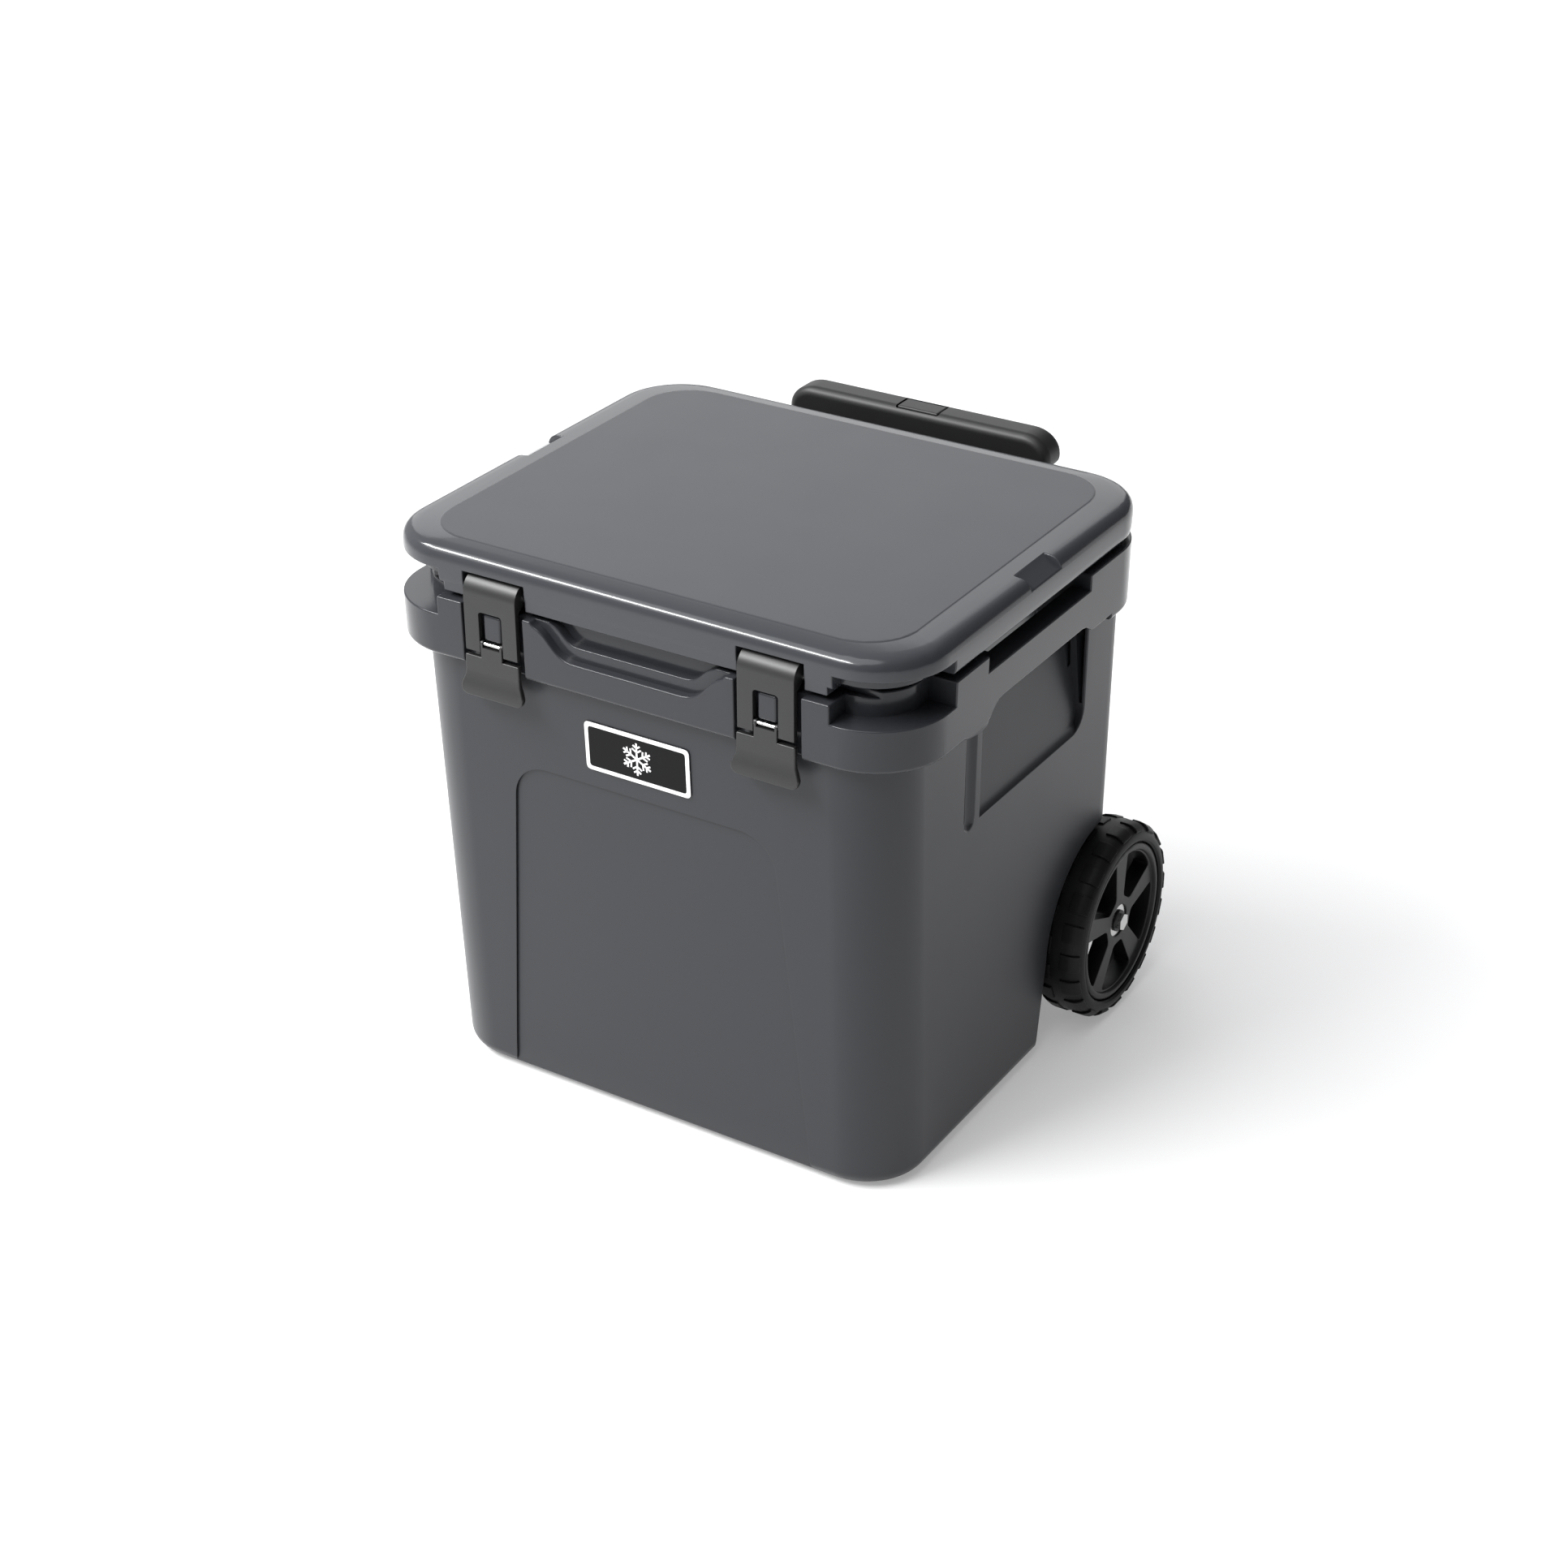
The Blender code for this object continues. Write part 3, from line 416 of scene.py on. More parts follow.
def side_cutters(side):
    """Everything cut into one side of the tub."""
    return [
        block("latch_pocket", (side * LATCH_X - LATCH_POCKET_HALF, side * LATCH_X + LATCH_POCKET_HALF),
              (-CUT_BEYOND, LATCH_POCKET_FLOOR), (0.38, CUT_ABOVE)),
        prism("tie_slot", tie_outline(0.0380, side), "Z", 0.4360, CUT_ABOVE),
        block("slot", span(side, 0.1985, 0.27), (SLOT_FRONT, SLOT_BACK), (SLOT_LOW, CUT_ABOVE)),
        block("grip_space", span(side, 0.1985, 0.2270), (POCKET_FRONT, SLOT_BACK), (0.40, 0.45)),
        prism("flange_opening", flange_outline(), "X", *span(side, 0.2268, 0.28)),
        pocket(side),
        prism("well", well_outline(), "X", *span(side, 0.1960, 0.28)),
    ]


def gusset_spaces(side):
    """Two wedge-shaped hollows in the rear wall of a side pocket."""
    first = [(0.1990, 0.4120), (0.2080, 0.4120), (0.2105, 0.3350)]
    second = [(0.2112, 0.4120), (0.2225, 0.4120), (0.2222, 0.3180), (0.2195, 0.3180)]
    return [prism("gusset_space", mirrored(outline, side), "Y", POCKET_BACK - 0.004, POCKET_BACK + 0.020)
            for outline in (first, second)]


def plain_edge(middle):
    """Edges of the tub that are softened: not those of bores, knuckles, keepers and gusset hollows."""
    side = abs(middle.x)
    hinge = middle.y > 0.1540 and middle.z > 0.4300 and 0.0990 < side < 0.2160
    keeper = abs(side - LATCH_X) < 0.0092 and middle.y < -0.2200 and 0.4200 < middle.z < 0.4500
    gusset = middle.y > POCKET_BACK - 0.0030 and 0.1900 < side < 0.2240 and 0.3000 < middle.z < 0.4150
    axle = math.hypot(middle.y - WHEEL_Y, middle.z - WHEEL_Z) < 0.0080
    return middle.z > 0.0120 and not (hinge or keeper or gusset or axle)


def tub_moulding():
    """The tub's moulding, collar and all."""
    body = tapered("tub_moulding", (BODY_FOOT_HALF, BODY_FOOT_FRONT, 0.1720, TUB_BASE_Z),
                   (BODY_TOP_HALF, -0.2248, 0.1760, WALL_TOP_Z), BODY_CORNER, 16, base_round=0.013, rounds=6)
    unite(body, tapered("rear_body", (BODY_FOOT_HALF, 0.0000, 0.1720, TUB_BASE_Z),
                        (BODY_TOP_HALF, 0.0000, 0.1760, WALL_TOP_Z), 0.0300, 12, base_round=0.013, rounds=6))
    panel = sunk("panel", panel_outline(), -0.030, -0.0002, 0.0022, 0.0032)
    lean = Matrix.Rotation(math.atan(0.0426), 4, "X")
    panel.data.transform(Matrix.Translation((0.0, BODY_FOOT_FRONT, TUB_BASE_Z)) @ lean)
    carve(body, panel)
    collar = [(COLLAR_HALF_X - 0.0060, COLLAR_FRONT + 0.0060, COLLAR_BACK - 0.0060, 0.056, COLLAR_LOW)]
    for step in range(1, 7):
        turn = math.radians(90.0 * step / 6)
        inset = 0.0045 * (1 - math.sin(turn)) + 0.0008
        rise = 0.0045 * (1 - math.cos(turn))
        collar.append((COLLAR_HALF_X - inset, COLLAR_FRONT + inset, COLLAR_BACK - inset,
                       COLLAR_CORNER - inset, COLLAR_LOW + rise))
    collar.append((COLLAR_HALF_X, COLLAR_FRONT, COLLAR_BACK, COLLAR_CORNER, COLLAR_TOP))
    unite(body, loft("collar", collar, 16))
    for word, side in SIDES:
        unite(body, prism("cheek", cheek_outline(), "X", *span(side, 0.2100, 0.2452), radius=0.0035))
    cutters = [
        block("front_rim", (-CUT_BEYOND, CUT_BEYOND), (-CUT_BEYOND, -0.203), (COLLAR_FRONT_TOP, CUT_ABOVE)),
        prism("scoop", scoop_outline(0.0610, 0.4246, 0.0800, 0.4455), "Y", -CUT_BEYOND, -0.2262),
        prism("deep_scoop", scoop_outline(0.0570, 0.4358, 0.0690, 0.4480), "Y", -CUT_BEYOND, -0.2175),
        block("hinge_recess", (-0.222, 0.222), (HINGE_Y - 0.0075, 0.20), (0.4410, CUT_ABOVE)),
        tapered("ice_cavity", (0.1680, -0.1720, 0.1180, 0.0450), (0.1760, -0.1900, 0.1240, 0.4700),
                0.028, 8, base_round=0.014),
        cylinder("fill_hole", 0.0123, "Z", (0.0, -0.04), -0.01, 0.0070),
        prism("rear_underside", [(0.0450, -0.02), (0.0450, 0.0100), (0.0620, 0.0290), (0.2000, 0.0290),
                                 (0.2000, -0.02)], "X", -CUT_BEYOND, CUT_BEYOND),
        cylinder("axle_bore", 0.0063, "X", (WHEEL_Y, WHEEL_Z), -0.23, 0.23),
    ]
    for word, side in SIDES:
        cutters += side_cutters(side)
        cutters.append(block("foot_recess", (side * 0.130 - 0.0223, side * 0.130 + 0.0223),
                             (-0.1753, -0.1447), (-0.01, 0.0043)))
        cutters += [groove(side), *gusset_spaces(side)]
    carve(body, *cutters)
    parts = []
    cutters = []
    for word, side in SIDES:
        parts += [block("keeper", (side * LATCH_X - 0.0085, side * LATCH_X + 0.0085), (-0.2338, -0.2215),
                        (0.4242, 0.4470), 0.0024, 4), *knuckles(side)]
        cutters.append(hinge_bore(side))
    unite(body, *parts)
    carve(body, *cutters)
    soften(body, 0.0013, 3, 32.0, plain_edge)
    return smooth(body)


def hinge_bore(side):
    """Cutter for a hinge pin's hole."""
    return cylinder("pin_bore", 0.0033, "X", (HINGE_Y, HINGE_Z), *span(side, *TUB_PIN_SPAN))


def knuckles(side):
    """The tub's hinge knuckles on one side."""
    made = []
    for near, far in TUB_KNUCKLE_SPANS:
        made.append(block("knuckle_web", span(side, near, far), (HINGE_Y - 0.0090, HINGE_Y + 0.0030),
                          (0.4370, HINGE_Z)))
        made.append(cylinder("knuckle", 0.0060, "X", (HINGE_Y, HINGE_Z), *span(side, near, far)))
    return made


def groove(side):
    """Upright round-ended groove in front of a side pocket."""
    section = [(radius * 0.0098, z) for radius, z in
               ((0.0, 0.2905), (0.55, 0.2920), (0.90, 0.2965), (1.0, 0.3030), (1.0, 0.3790), (0.90, 0.3850),
                (0.55, 0.3895), (0.0, 0.3910))]
    return turned("groove", section, Vector((side * 0.2304, -0.0955, 0.0)), "Z", 1, 40)


# ------------------------------------------------------------------ lid
def lid_moulding():
    """The lid: bulging rounded edge, inset top, skirt, pan, notches and slots."""
    section = [(0.0100, LID_LOW), (0.0042, LID_LOW), (0.0024, 0.4620), (0.0012, 0.4634), (0.0006, 0.4660),
               (0.0002, 0.4700), (0.0000, 0.4770), (0.0001, 0.4810), (0.0007, 0.4842), (0.0020, 0.4870),
               (0.0041, 0.4892), (0.0068, 0.4907), (0.0100, 0.4916), (0.0150, 0.4922)]
    rows = [(LID_HALF_X - inset, LID_FRONT + inset, LID_BACK - inset, LID_CORNER - inset, z)
            for inset, z in section]
    rows += [(PANEL_HALF_X + 0.0010, PANEL_FRONT - 0.0010, PANEL_BACK + 0.0010, 0.0440, 0.49300),
             (PANEL_HALF_X + 0.0004, PANEL_FRONT - 0.0004, PANEL_BACK + 0.0004, 0.0434, 0.49295),
             (PANEL_HALF_X - 0.0002, PANEL_FRONT + 0.0002, PANEL_BACK - 0.0002, 0.0428, 0.49325),
             (PANEL_HALF_X - 0.0012, PANEL_FRONT + 0.0012, PANEL_BACK - 0.0012, 0.0418, LID_TOP)]
    lid = loft("lid_moulding", rows, 18)
    pan = (0.1720, -0.1860, 0.1200)
    unite(lid, tapered("pan", (*pan, 0.4480), (*pan, 0.4640), 0.026, 8),
          block("skirt", (-SKIRT_HALF_X, SKIRT_HALF_X), (-0.2290, -0.2050), (SKIRT_LOW, 0.4660)))
    cutters = [cylinder("lid_fill", 0.0083, "Z", (0.0, -0.04), 0.44, LID_LOW)]
    for word, side in SIDES:
        notch = [(0.2280, 0.52), (0.2280, 0.4925), (0.2330, 0.4890), (0.2520, 0.4790), (0.2700, 0.4790),
                 (0.2700, 0.52)]
        cutters += [
            prism("lid_tie_slot", tie_outline(0.0440, side), "Z", 0.44, 0.4735),
            block("lid_latch_pocket",
                  (side * LATCH_X - LATCH_POCKET_HALF, side * LATCH_X + LATCH_POCKET_HALF),
                  (-CUT_BEYOND, STRAP_PIVOT_Y + 0.0142), (0.44, STRAP_PIVOT_Z + 0.0142)),
            prism("lid_notch", mirrored(notch, side), "Y", -0.0426, 0.0064),
        ]
    carve(lid, *cutters)
    parts = []
    cutters = []
    for word, side in SIDES:
        knuckle = span(side, *LID_KNUCKLE_SPAN)
        parts += [block("lid_web", knuckle, (HINGE_Y - 0.0044, HINGE_Y + 0.0046), (HINGE_Z, 0.4635)),
                  cylinder("lid_knuckle", 0.0060, "X", (HINGE_Y, HINGE_Z), *knuckle)]
        cutters += [hinge_bore(side),
                    cylinder("strap_pin_bore", 0.0019, "X", (STRAP_PIVOT_Y, STRAP_PIVOT_Z),
                             *span(side, 0.0875, 0.200))]
    unite(lid, *parts)
    carve(lid, *cutters)
    soften(lid, 0.0011, 3, 34.0, lid_edge)
    return smooth(lid)


def lid_edge(middle):
    """Edges of the lid that are softened: not those of knuckles and bores."""
    knuckle = middle.y > 0.1500 and middle.z < 0.4640 and 0.1400 < abs(middle.x) < 0.1800
    pin = math.hypot(middle.y - STRAP_PIVOT_Y, middle.z - STRAP_PIVOT_Z) < 0.0030
    plug = math.hypot(middle.x, middle.y + 0.04) < 0.0100
    return not (knuckle or pin or plug)


# ------------------------------------------------------------------ latches
def strap(word, side):
    """Latch strap: a fork that hooks over its pin."""
    centre = (STRAP_PIVOT_Y, STRAP_PIVOT_Z)
    low, front, outer = 0.4140, -0.2361, 0.0135
    x_low = side * LATCH_X - 0.0250
    x_high = side * LATCH_X + 0.0250
    hook = [(front, low)] + arc(centre, outer, 180, 75, 16) + arc(centre, outer - 0.0050, 75, 180, 12)
    hook.append((front + 0.0050, low))
    made = prism("strap_" + word, hook, "X", x_low, x_high)
    cheek = arc(centre, outer - 0.0010, 175, 80, 12) + [(STRAP_PIVOT_Y + 0.0036, STRAP_PIVOT_Z)]
    cheek += arc(centre, 0.0036, -20, -100, 6) + [(front + 0.0030, STRAP_PIVOT_Z - 0.0100)]
    for near, far in ((x_low, x_low + 0.0060), (x_high - 0.0060, x_high)):
        unite(made, prism("strap_cheek", cheek, "X", near, far))
    middle = side * LATCH_X
    window = [(middle - 0.0110, 0.4040), (middle + 0.0110, 0.4040), (middle + 0.0110, 0.4490),
              (middle - 0.0110, 0.4490)]
    carve(made, prism("window", rounded(window, 0.0030), "Y", -0.25, -0.22))
    soften(made, 0.0006, 2, 35.0)
    carve(made, cylinder("pin_bore", 0.0019, "X", centre, x_low - 0.01, x_high + 0.01, 16),
          cylinder("bar_bore", 0.0017, "X", LATCH_BAR, middle - 0.0143, middle + 0.0143, 16))
    return smooth(made)


def lever(word, side):
    """Latch lever: a flared tab whose tongue turns on the steel bar."""
    x = side * LATCH_X
    right = [(0.0258, 0.4100), (0.0258, 0.3975), (0.0264, 0.3925), (0.0285, 0.3870), (0.0300, 0.3830),
             (0.0298, 0.3800)]
    right += arc((0.0236, 0.3817), 0.0062, -15, -90, 5)
    face = [(x + a, b) for a, b in right] + [(x - a, b) for a, b in reversed(right)]
    made = prism("lever_" + word, face, "Y", -0.2450, -0.2250)
    section = [(-0.2318, 0.4110), (-0.2366, 0.4110), (-0.2366, 0.3960), (-0.2369, 0.3925),
               (-0.2376, 0.3885), (-0.2385, 0.3840), (-0.2390, 0.3800), (-0.2390, 0.3745),
               (-0.2355, 0.3745), (-0.2346, 0.3800), (-0.2330, 0.3880)]
    carve(made, prism("lever_section", section, "X", x - 0.04, x + 0.04), operation="INTERSECT")
    soften(made, 0.0010, 3, 35.0)
    unite(made, block("tongue", (x - 0.0103, x + 0.0103), (-0.2366, -0.2318), (0.4070, 0.4218), 0.0008, 2),
          cylinder("eye", 0.0025, "X", LATCH_BAR, x - 0.0103, x + 0.0103, 20))
    carve(made, cylinder("bar_bore", 0.0017, "X", LATCH_BAR, x - 0.02, x + 0.02, 16),
          block("bar_window", (x - 0.0082, x + 0.0082), (-0.245, -0.225), (0.4190, 0.43)))
    return smooth(made)


# ------------------------------------------------------------------ wheels
def wheel_middle(side):
    """Centre of a wheel."""
    return Vector((side * TYRE_MIDDLE_X, WHEEL_Y, WHEEL_Z))


def tyre(word, side):
    """Solid tyre with blocks round both shoulders."""
    shoulder = [(0.0728, 0.0030), (0.0745, 0.0012), (0.0770, 0.0008), (0.0805, 0.0022), (0.0840, 0.0050),
                (0.0862, 0.0095), (0.0871, 0.0150)]
    profile = [(radius, TYRE_HALF - inset) for radius, inset in shoulder] + [(0.0873, 0.0)]
    profile += [(radius, inset - TYRE_HALF) for radius, inset in reversed(shoulder)]
    made = turned("tyre_" + word + "_look", profile, wheel_middle(side), "X", side, 96)
    bm = bmesh.new()
    bm.from_mesh(made.data)
    for row, sign in enumerate((1, -1)):
        for number in range(TREAD_BLOCKS):
            turn = Matrix.Rotation(math.tau * (number + 0.5 * row) / TREAD_BLOCKS, 4, "X")
            tread_block(bm, Matrix.Translation(wheel_middle(side)) @ turn, side * sign)
    bm.to_mesh(made.data)
    bm.free()
    return smooth(made, 35.0)


def tread_block(bm, turn, sign):
    """One tread block, wrapped over the shoulder."""
    section = [(0.0045, 0.0855), (0.0045, 0.0884), (TYRE_HALF - 0.0120, 0.0883),
               (TYRE_HALF - 0.0080, 0.0876), (TYRE_HALF - 0.0042, 0.0855), (TYRE_HALF - 0.0016, 0.0828),
               (TYRE_HALF - 0.0040, 0.0800), (TYRE_HALF - 0.0120, 0.0800)]
    sides = []
    for offset in (-0.0084, 0.0084):
        points = [Vector((sign * x, offset * radius / 0.0880, radius)) for x, radius in section]
        sides.append([bm.verts.new(turn @ point) for point in points])
    first, second = sides
    faces = [bm.faces.new(first), bm.faces.new(list(reversed(second)))]
    for index in range(len(first)):
        after = (index + 1) % len(first)
        faces.append(bm.faces.new((first[after], first[index], second[index], second[after])))
    bmesh.ops.recalc_face_normals(bm, faces=faces)
    edges = list({edge for face in faces for edge in face.edges
                  if edge.calc_face_angle(0.0) > math.radians(50)})
    round_edges(bm, edges, 0.0010, 2)


def window_outline(turn):
    """Opening between two spokes, seen along the axle."""
    outer = arc((0.0, 0.0), 0.0632, -26.0, 26.0, 8)
    points = rounded(outer + [(0.0222, 0.0076), (0.0222, -0.0076)], 0.0040, 4)
    along, across = math.cos(turn), math.sin(turn)
    return [(WHEEL_Y + a * along - b * across, WHEEL_Z + a * across + b * along) for a, b in points]


def rim(word, side):
    """Five-spoked rim."""
    face = 0.2485 - TYRE_MIDDLE_X
    inner = 0.0040 - TYRE_HALF
    profile = [(0.0690, face), (0.0712, face - 0.0010), (0.0724, face - 0.0034), (0.0724, inner),
               (0.0690, inner),
               (0.0690, 0.0030), (0.0200, 0.0030), (0.0200, -0.0150), (0.0150, -0.0150), (0.0150, -0.0070),
               (0.0090, -0.0070), (0.0090, 0.0090), (0.0150, 0.0090), (0.0150, 0.0176), (0.0155, 0.0181),
               (0.0630, 0.0181), (0.0646, 0.0186), (0.0658, 0.0210), (0.0668, face - 0.0002)]
    made = turned("rim_" + word + "_look", profile, wheel_middle(side), "X", side, 80)
    windows = [prism("rim_window", window_outline(math.tau * (0.25 + (number + 0.5) / SPOKES)), "X",
                     *span(side, 0.2200, CUT_BEYOND)) for number in range(SPOKES)]
    carve(made, *windows)
    soften(made, 0.0007, 2, 45.0, shortest=0.0001)
    return smooth(made)


# ------------------------------------------------------------------ handle
def grip():
    """Grip bar with well-rounded ends and a pocket for its button."""
    low, high = GRIP_LOW_CORNER, GRIP_HIGH_CORNER
    right = arc((high.x - 0.0080, low.z + 0.0080), 0.0080, -90, 0, 6)
    right += [(high.x - 0.0250 + 0.0250 * math.cos(angle), high.z - 0.0205 + 0.0205 * math.sin(angle))
              for angle in (math.radians(9.0 * step) for step in range(11))]
    outline = right + [(-x, z) for x, z in reversed(right)]
    made = prism("grip_look", outline, "Y", low.y, high.y, 0.0078, 8)
    middle = (low.y + high.y) / 2
    pocket = block("button_pocket", (-0.0212, 0.0212), (middle - 0.0122, middle + 0.0092), (0.4840, 0.51),
                   0.0020, 3)
    sockets = [cylinder("socket", 0.0080, "Z", (x, 0.2190), 0.45, 0.4733) for x in (-0.0850, 0.0850)]
    carve(made, pocket, *sockets)
    return smooth(made)


def button():
    """Release button, flush with the grip."""
    low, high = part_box("release_button")
    return smooth(block("button_look", (low.x, high.x), (low.y - 0.0028, high.y), (low.z, high.z),
                        0.0018, 4))


# ------------------------------------------------------------------ badge
def badge_pieces():
    """Dark plate with a pale border and a six-armed snowflake."""
    middle_z = 0.3515
    wall_slope = 0.04257
    wall = BODY_FOOT_FRONT - wall_slope * (middle_z - TUB_BASE_Z)
    lean = Matrix.Translation((0.0, wall, middle_z)) @ Matrix.Rotation(math.atan(wall_slope), 4, "X")
    outline = rounded([(-0.0490, -0.0215), (0.0490, -0.0215), (0.0490, 0.0215), (-0.0490, 0.0215)], 0.0045)
    plate = prism("badge_look", outline, "Y", -0.0014, -0.0003, 0.0003, 2)
    border = prism("badge_border", outline, "Y", -0.0016, -0.0006, 0.0002, 1)
    inner = rounded([(-0.0455, -0.0180), (0.0455, -0.0180), (0.0455, 0.0180), (-0.0455, 0.0180)], 0.0030)
    carve(border, prism("border_inside", inner, "Y", -0.01, 0.01))
    flake = snowflake()
    for piece in (plate, border, flake):
        piece.data.transform(lean)
        smooth(piece)
    return plate, border, flake


def snowflake():
    """Six arms, each with two pairs of twigs."""
    bm = bmesh.new()
    for arm in range(6):
        turn = Matrix.Rotation(math.radians(60.0 * arm), 4, "Y")
        bars = [(0.0, 0.0072, 0.0, 0.0145, 0.0016)]
        for height, length in ((0.0062, 0.0052), (0.0100, 0.0040)):
            bars += [(lean, height, length, None, 0.0014) for lean in (-55.0, 55.0)]
        for lean, height, length, full, width in bars:
            long = full if full else length
            shift = Matrix.Translation((0.0, 0.0, height))
            tilt = Matrix.Rotation(math.radians(lean), 4, "Y")
            lift = Matrix.Identity(4) if full else Matrix.Translation((0.0, 0.0, long / 2))
            size = Matrix.Diagonal((width, 0.0004, long, 1.0))
            placed = Matrix.Translation((0.0, -0.0015, 0.0)) @ turn @ shift @ tilt @ lift @ size
            bmesh.ops.create_cube(bm, size=1.0, matrix=placed)
    return as_piece(bm, "badge_snowflake")


# ------------------------------------------------------------------ materials
def new_group(name, inputs, outputs):
    """Empty shader node group with its sockets."""
    group = bpy.data.node_groups.new(name, "ShaderNodeTree")
    for label, kind, value in inputs:
        socket = group.interface.new_socket(label, in_out="INPUT", socket_type=kind)
        if value is not None:
            socket.default_value = value
    for label, kind in outputs:
        group.interface.new_socket(label, in_out="OUTPUT", socket_type=kind)
    return group, group.nodes.new("NodeGroupInput"), group.nodes.new("NodeGroupOutput")


def moulded_surface():
    """Fine moulding grain with faint cloudy changes in gloss, and another gloss above a height."""
    group, given, result = new_group(
        "moulded_surface",
        [("Vector", "NodeSocketVector", None), ("Grain Scale", "NodeSocketFloat", 900.0),
         ("Gloss", "NodeSocketFloat", 0.35), ("Gloss Spread", "NodeSocketFloat", 0.05),
         ("Split Height", "NodeSocketFloat", 9.0), ("Gloss Above", "NodeSocketFloat", 0.35)],
        [("Height", "NodeSocketFloat"), ("Roughness", "NodeSocketFloat")])
    grain = group.nodes.new("ShaderNodeTexNoise")
    grain.inputs["Detail"].default_value = 3.0
    cloud = group.nodes.new("ShaderNodeTexNoise")
    cloud.inputs["Scale"].default_value = 18.0
    cloud.inputs["Detail"].default_value = 4.0
    low = group.nodes.new("ShaderNodeMath")
    low.operation = "SUBTRACT"
    high = group.nodes.new("ShaderNodeMath")
    high.operation = "ADD"
    remap = group.nodes.new("ShaderNodeMapRange")
    link = group.links.new
    link(given.outputs["Vector"], grain.inputs["Vector"])
    link(given.outputs["Grain Scale"], grain.inputs["Scale"])
    link(given.outputs["Vector"], cloud.inputs["Vector"])
    split = group.nodes.new("ShaderNodeSeparateXYZ")
    above = group.nodes.new("ShaderNodeMath")
    above.operation = "GREATER_THAN"
    chosen = group.nodes.new("ShaderNodeMix")
    link(given.outputs["Vector"], split.inputs["Vector"])
    link(split.outputs["Z"], above.inputs[0])
    link(given.outputs["Split Height"], above.inputs[1])
    link(above.outputs[0], chosen.inputs["Factor"])
    link(given.outputs["Gloss"], chosen.inputs["A"])
    link(given.outputs["Gloss Above"], chosen.inputs["B"])
    link(chosen.outputs["Result"], low.inputs[0])
    link(given.outputs["Gloss Spread"], low.inputs[1])
    link(chosen.outputs["Result"], high.inputs[0])
    link(given.outputs["Gloss Spread"], high.inputs[1])
    link(cloud.outputs["Fac"], remap.inputs["Value"])
    link(low.outputs[0], remap.inputs["To Min"])
    link(high.outputs[0], remap.inputs["To Max"])
    link(grain.outputs["Fac"], result.inputs["Height"])
    link(remap.outputs["Result"], result.inputs["Roughness"])
    return group


SURFACE = moulded_surface()


def material(name, colour, gloss, spread, grain, depth, metallic=0.0, specular=0.5, split=None):
    """Principled material with the moulded surface group; split is (height, gloss above it)."""
    made = bpy.data.materials.new(name)
    made.use_nodes = True
    nodes = made.node_tree.nodes
    link = made.node_tree.links.new
    shader = nodes["Principled BSDF"]
    shader.inputs["Base Color"].default_value = (*colour, 1.0)
    shader.inputs["Metallic"].default_value = metallic
    shader.inputs["Specular IOR Level"].default_value = specular
    place = nodes.new("ShaderNodeTexCoord")
    surface = nodes.new("ShaderNodeGroup")
    surface.node_tree = SURFACE
    surface.inputs["Grain Scale"].default_value = grain
    surface.inputs["Gloss"].default_value = gloss
    surface.inputs["Gloss Spread"].default_value = spread
    if split:
        surface.inputs["Split Height"].default_value, surface.inputs["Gloss Above"].default_value = split
    bump = nodes.new("ShaderNodeBump")
    bump.inputs["Strength"].default_value = depth
    bump.inputs["Distance"].default_value = 0.0004
    link(place.outputs["Object"], surface.inputs["Vector"])
    link(surface.outputs["Roughness"], shader.inputs["Roughness"])
    link(surface.outputs["Height"], bump.inputs["Height"])
    link(bump.outputs["Normal"], shader.inputs["Normal"])
    return made


BODY_CHARCOAL = material("body_charcoal", (0.025, 0.0262, 0.0300), 0.36, 0.02, 1100.0, 0.02, specular=0.30,
                         split=(COLLAR_LOW + 0.0005, 0.17))
LID_CHARCOAL = material("lid_charcoal", (0.030, 0.0318, 0.0365), 0.16, 0.02, 1100.0, 0.02, specular=0.40,
                        split=(0.49312, 0.40))
LATCH_BLACK = material("latch_black", (0.010, 0.010, 0.010), 0.42, 0.04, 1400.0, 0.03)
GRIP_BLACK = material("grip_black", (0.010, 0.010, 0.010), 0.44, 0.03, 1400.0, 0.03, specular=0.35)
RIM_BLACK = material("rim_black", (0.0035, 0.0035, 0.0035), 0.42, 0.04, 1200.0, 0.03, specular=0.30)
TYRE_BLACK = material("tyre_black", (0.0030, 0.0030, 0.0030), 0.50, 0.05, 700.0, 0.05, specular=0.22)
RUBBER_BLACK = material("rubber_black", (0.012, 0.012, 0.012), 0.70, 0.05, 700.0, 0.08)
STEEL_BRIGHT = material("steel_bright", (0.60, 0.60, 0.59), 0.25, 0.05, 1800.0, 0.03, metallic=1.0)
TUBE_DARK = material("tube_anodised", (0.060, 0.060, 0.064), 0.32, 0.03, 1800.0, 0.03, metallic=0.8)
BADGE_DARK = material("badge_dark", (0.002, 0.002, 0.0025), 0.30, 0.03, 1400.0, 0.03, specular=0.12)
BADGE_PALE = material("badge_pale", (0.80, 0.80, 0.80), 0.40, 0.03, 1400.0, 0.03)


def dress(piece, look):
    """Give a piece its one material."""
    piece.data.materials.clear()
    piece.data.materials.append(look)
    return piece


def stand_in(piece, look, slot, body, *nodes):
    """Put a finished piece on its body in place of its CAD nodes."""
    dress(piece, look)
    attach(piece, body)
    if nodes:
        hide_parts(*nodes)
    return piece


def carried_over():
    """New materials for the CAD nodes that stay."""
    looks = {"rubber": RUBBER_BLACK, "steel": STEEL_BRIGHT, "aluminium": TUBE_DARK,
             "black_plastic": RIM_BLACK}
    slots = {entry["node"]: entry["material_slot"] for entry in frame["record"]["subparts"]}
    for name, node in frame["nodes"].items():
        look = looks.get(slots.get(name))
        if look:
            node.material_slots[0].material = look


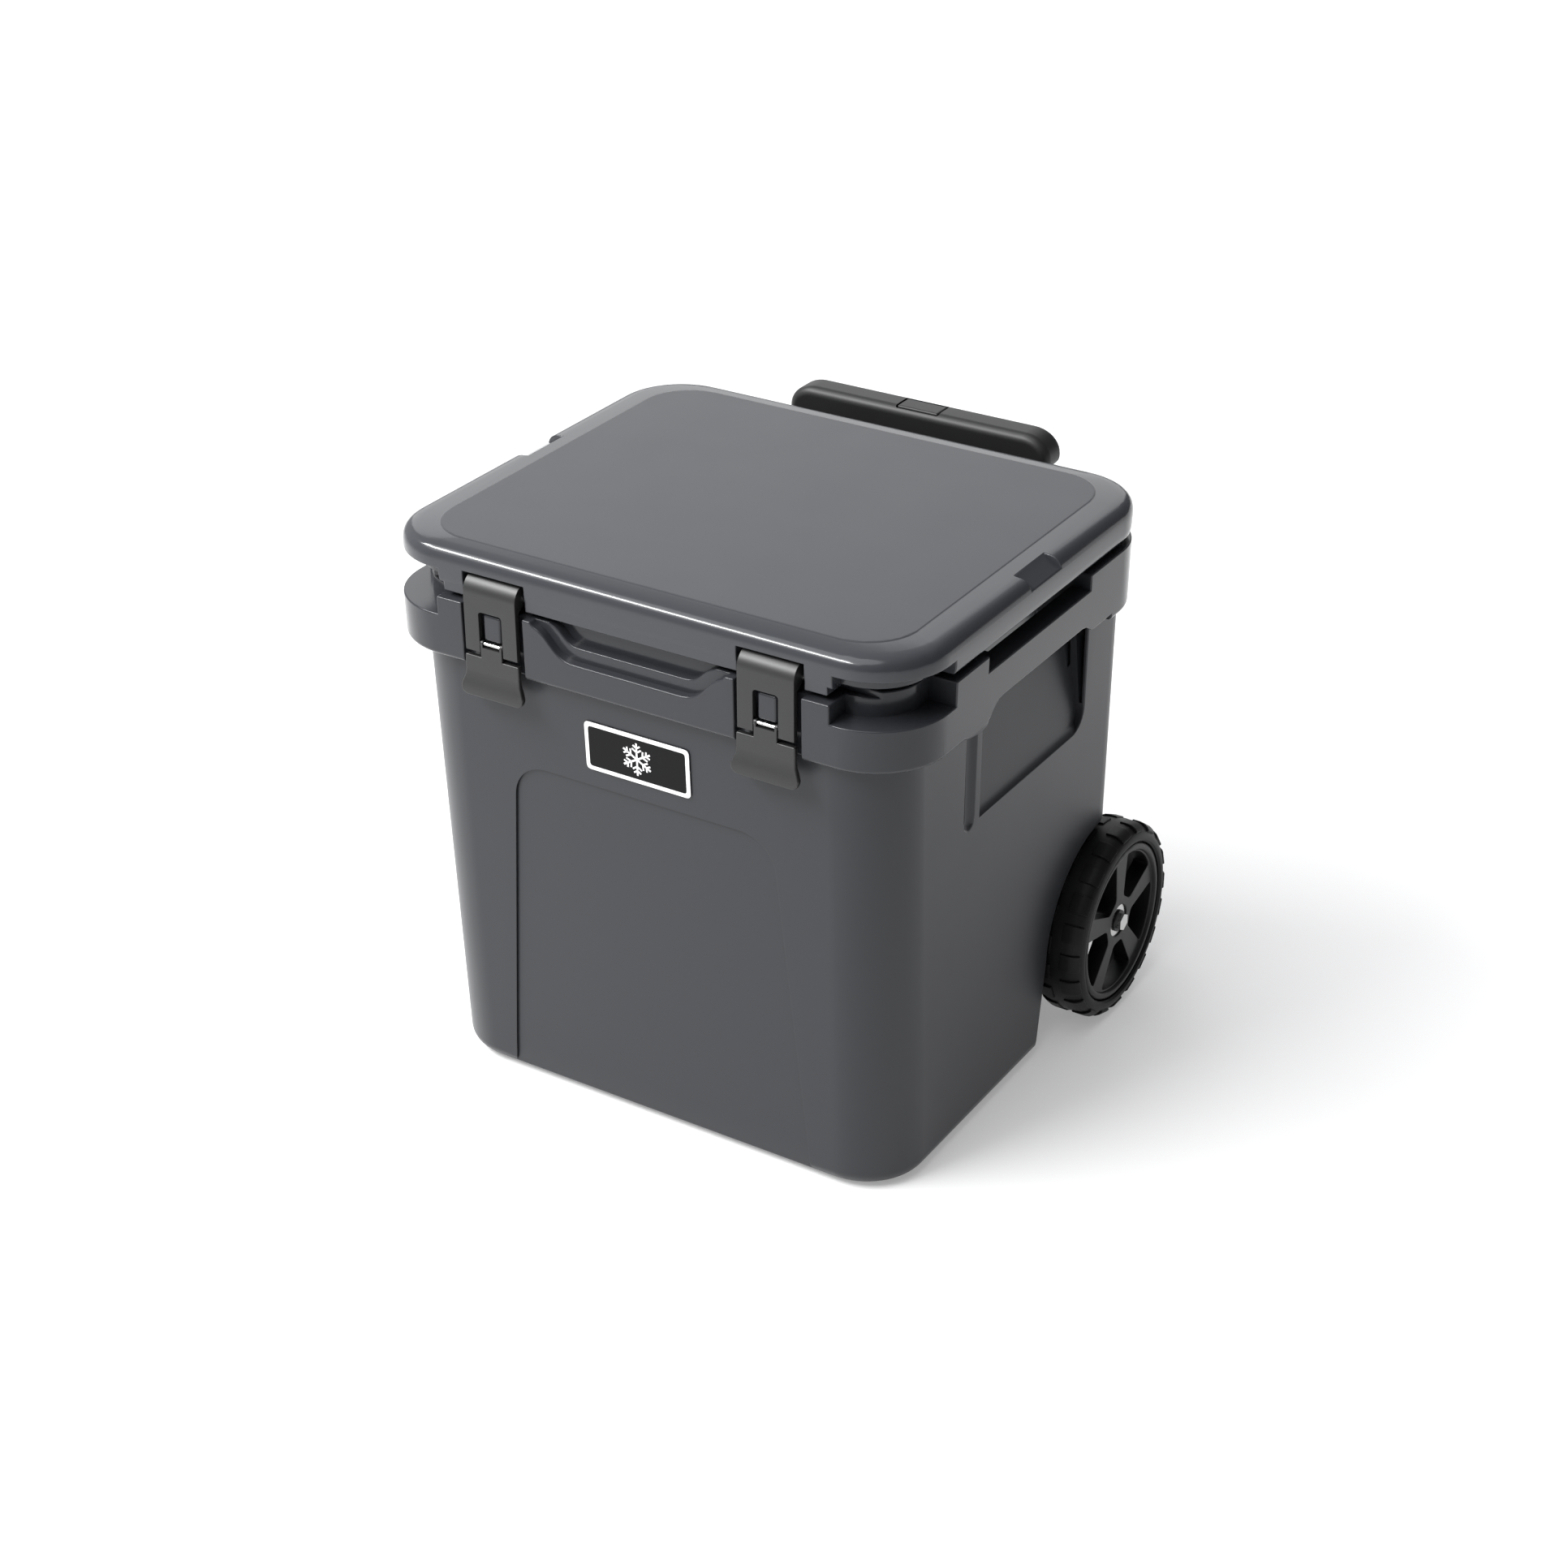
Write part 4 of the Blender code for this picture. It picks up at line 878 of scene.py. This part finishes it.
# ------------------------------------------------------------------ assembly
stand_in(tub_moulding(), BODY_CHARCOAL, "shell", "tub", "tub_shell")
stand_in(lid_moulding(), LID_CHARCOAL, "shell", "lid", "lid_shell")
for word, side in SIDES:
    stand_in(strap(word, side), LATCH_BLACK, "latch_rubber", "strap_" + word, "latch_strap_" + word)
    stand_in(lever(word, side), LATCH_BLACK, "latch_rubber", "lever_" + word, "latch_lever_" + word)
    stand_in(tyre(word, side), TYRE_BLACK, "tyre", "wheel_" + word, "tyre_" + word)
    stand_in(rim(word, side), RIM_BLACK, "black_plastic", "wheel_" + word, "rim_" + word)
stand_in(grip(), GRIP_BLACK, "grip", "handle_top", "handle_grip")
stand_in(button(), GRIP_BLACK, "grip", "button", "release_button")
badge, badge_border, badge_flake = badge_pieces()
stand_in(badge, BADGE_DARK, "badge", "tub", "badge_plate")
stand_in(badge_border, BADGE_PALE, "badge", "tub")
stand_in(badge_flake, BADGE_PALE, "badge", "tub")
carried_over()


# ------------------------------------------------------------------ floor, lights, camera
def studio_world():
    """Surroundings that are pale to the left and overhead, and darker to the right."""
    world = bpy.data.worlds.new("studio")
    world.use_nodes = True
    nodes = world.node_tree.nodes
    link = world.node_tree.links.new
    place = nodes.new("ShaderNodeTexCoord")
    facing = nodes.new("ShaderNodeVectorMath")
    facing.operation = "DOT_PRODUCT"
    facing.inputs[1].default_value = (-0.80, -0.25, 0.55)
    ramp = nodes.new("ShaderNodeValToRGB")
    ramp.color_ramp.elements[0].position = 0.0
    ramp.color_ramp.elements[0].color = (0.22, 0.22, 0.23, 1.0)
    ramp.color_ramp.elements[1].position = 0.9
    ramp.color_ramp.elements[1].color = (0.95, 0.96, 0.98, 1.0)
    link(place.outputs["Generated"], facing.inputs[0])
    link(facing.outputs["Value"], ramp.inputs["Fac"])
    link(ramp.outputs["Color"], nodes["Background"].inputs["Color"])
    nodes["Background"].inputs["Strength"].default_value = 0.85
    return world


def studio():
    """Pale floor that glows a little, and soft lights."""
    bm = bmesh.new()
    bmesh.ops.create_grid(bm, x_segments=1, y_segments=1, size=12.0)
    floor = as_piece(bm, "floor")
    look = bpy.data.materials.new("studio_floor")
    look.use_nodes = True
    shader = look.node_tree.nodes["Principled BSDF"]
    for label, value in (("Base Color", (0.70, 0.70, 0.70, 1.0)), ("Emission Color", (1.0, 1.0, 1.0, 1.0)),
                         ("Emission Strength", 0.28), ("Roughness", 0.9), ("Specular IOR Level", 0.0)):
        shader.inputs[label].default_value = value
    floor.data.materials.append(look)
    bpy.context.scene.world = studio_world()
    sun = bpy.data.lights.new("soft_top", "SUN")
    sun.energy = 1.9
    sun.angle = math.radians(60.0)
    lamp = bpy.data.objects.new("soft_top", sun)
    lamp.rotation_euler = Vector((-0.30, -0.42, 0.90)).to_track_quat("Z", "Y").to_euler()
    bpy.context.scene.collection.objects.link(lamp)
    for name, place, aim, size, power in (
            ("edge_strip", (-1.30, -1.30, 2.30), (0.0, -0.15, 0.40), (2.6, 0.30), 110.0),
            ("backdrop", (-1.75, 2.90, 1.75), (0.0, 0.0, 0.45), (3.4, 1.9), 25.0)):
        data = bpy.data.lights.new(name, "AREA")
        data.shape = "RECTANGLE"
        data.size, data.size_y = size
        data.energy = power
        lamp = bpy.data.objects.new(name, data)
        lamp.location = place
        lamp.rotation_euler = (Vector(aim) - Vector(place)).to_track_quat("-Z", "Y").to_euler()
        bpy.context.scene.collection.objects.link(lamp)


def camera():
    """The camera, from the front right and above."""
    data = bpy.data.cameras.new("camera")
    data.lens = 67.1755
    data.sensor_width = 36.0
    made = bpy.data.objects.new("camera", data)
    turn = Euler((math.radians(90.0 - 28.891), 0.0, math.radians(32.090))).to_matrix()
    roll = Matrix.Rotation(math.radians(-0.2787), 3, "Z")
    made.rotation_euler = (turn @ roll).to_euler()
    made.location = (1.15615, -1.85242, 1.42999)
    bpy.context.scene.collection.objects.link(made)
    bpy.context.scene.camera = made


studio()
camera()
bpy.context.scene.view_settings.view_transform = "Standard"
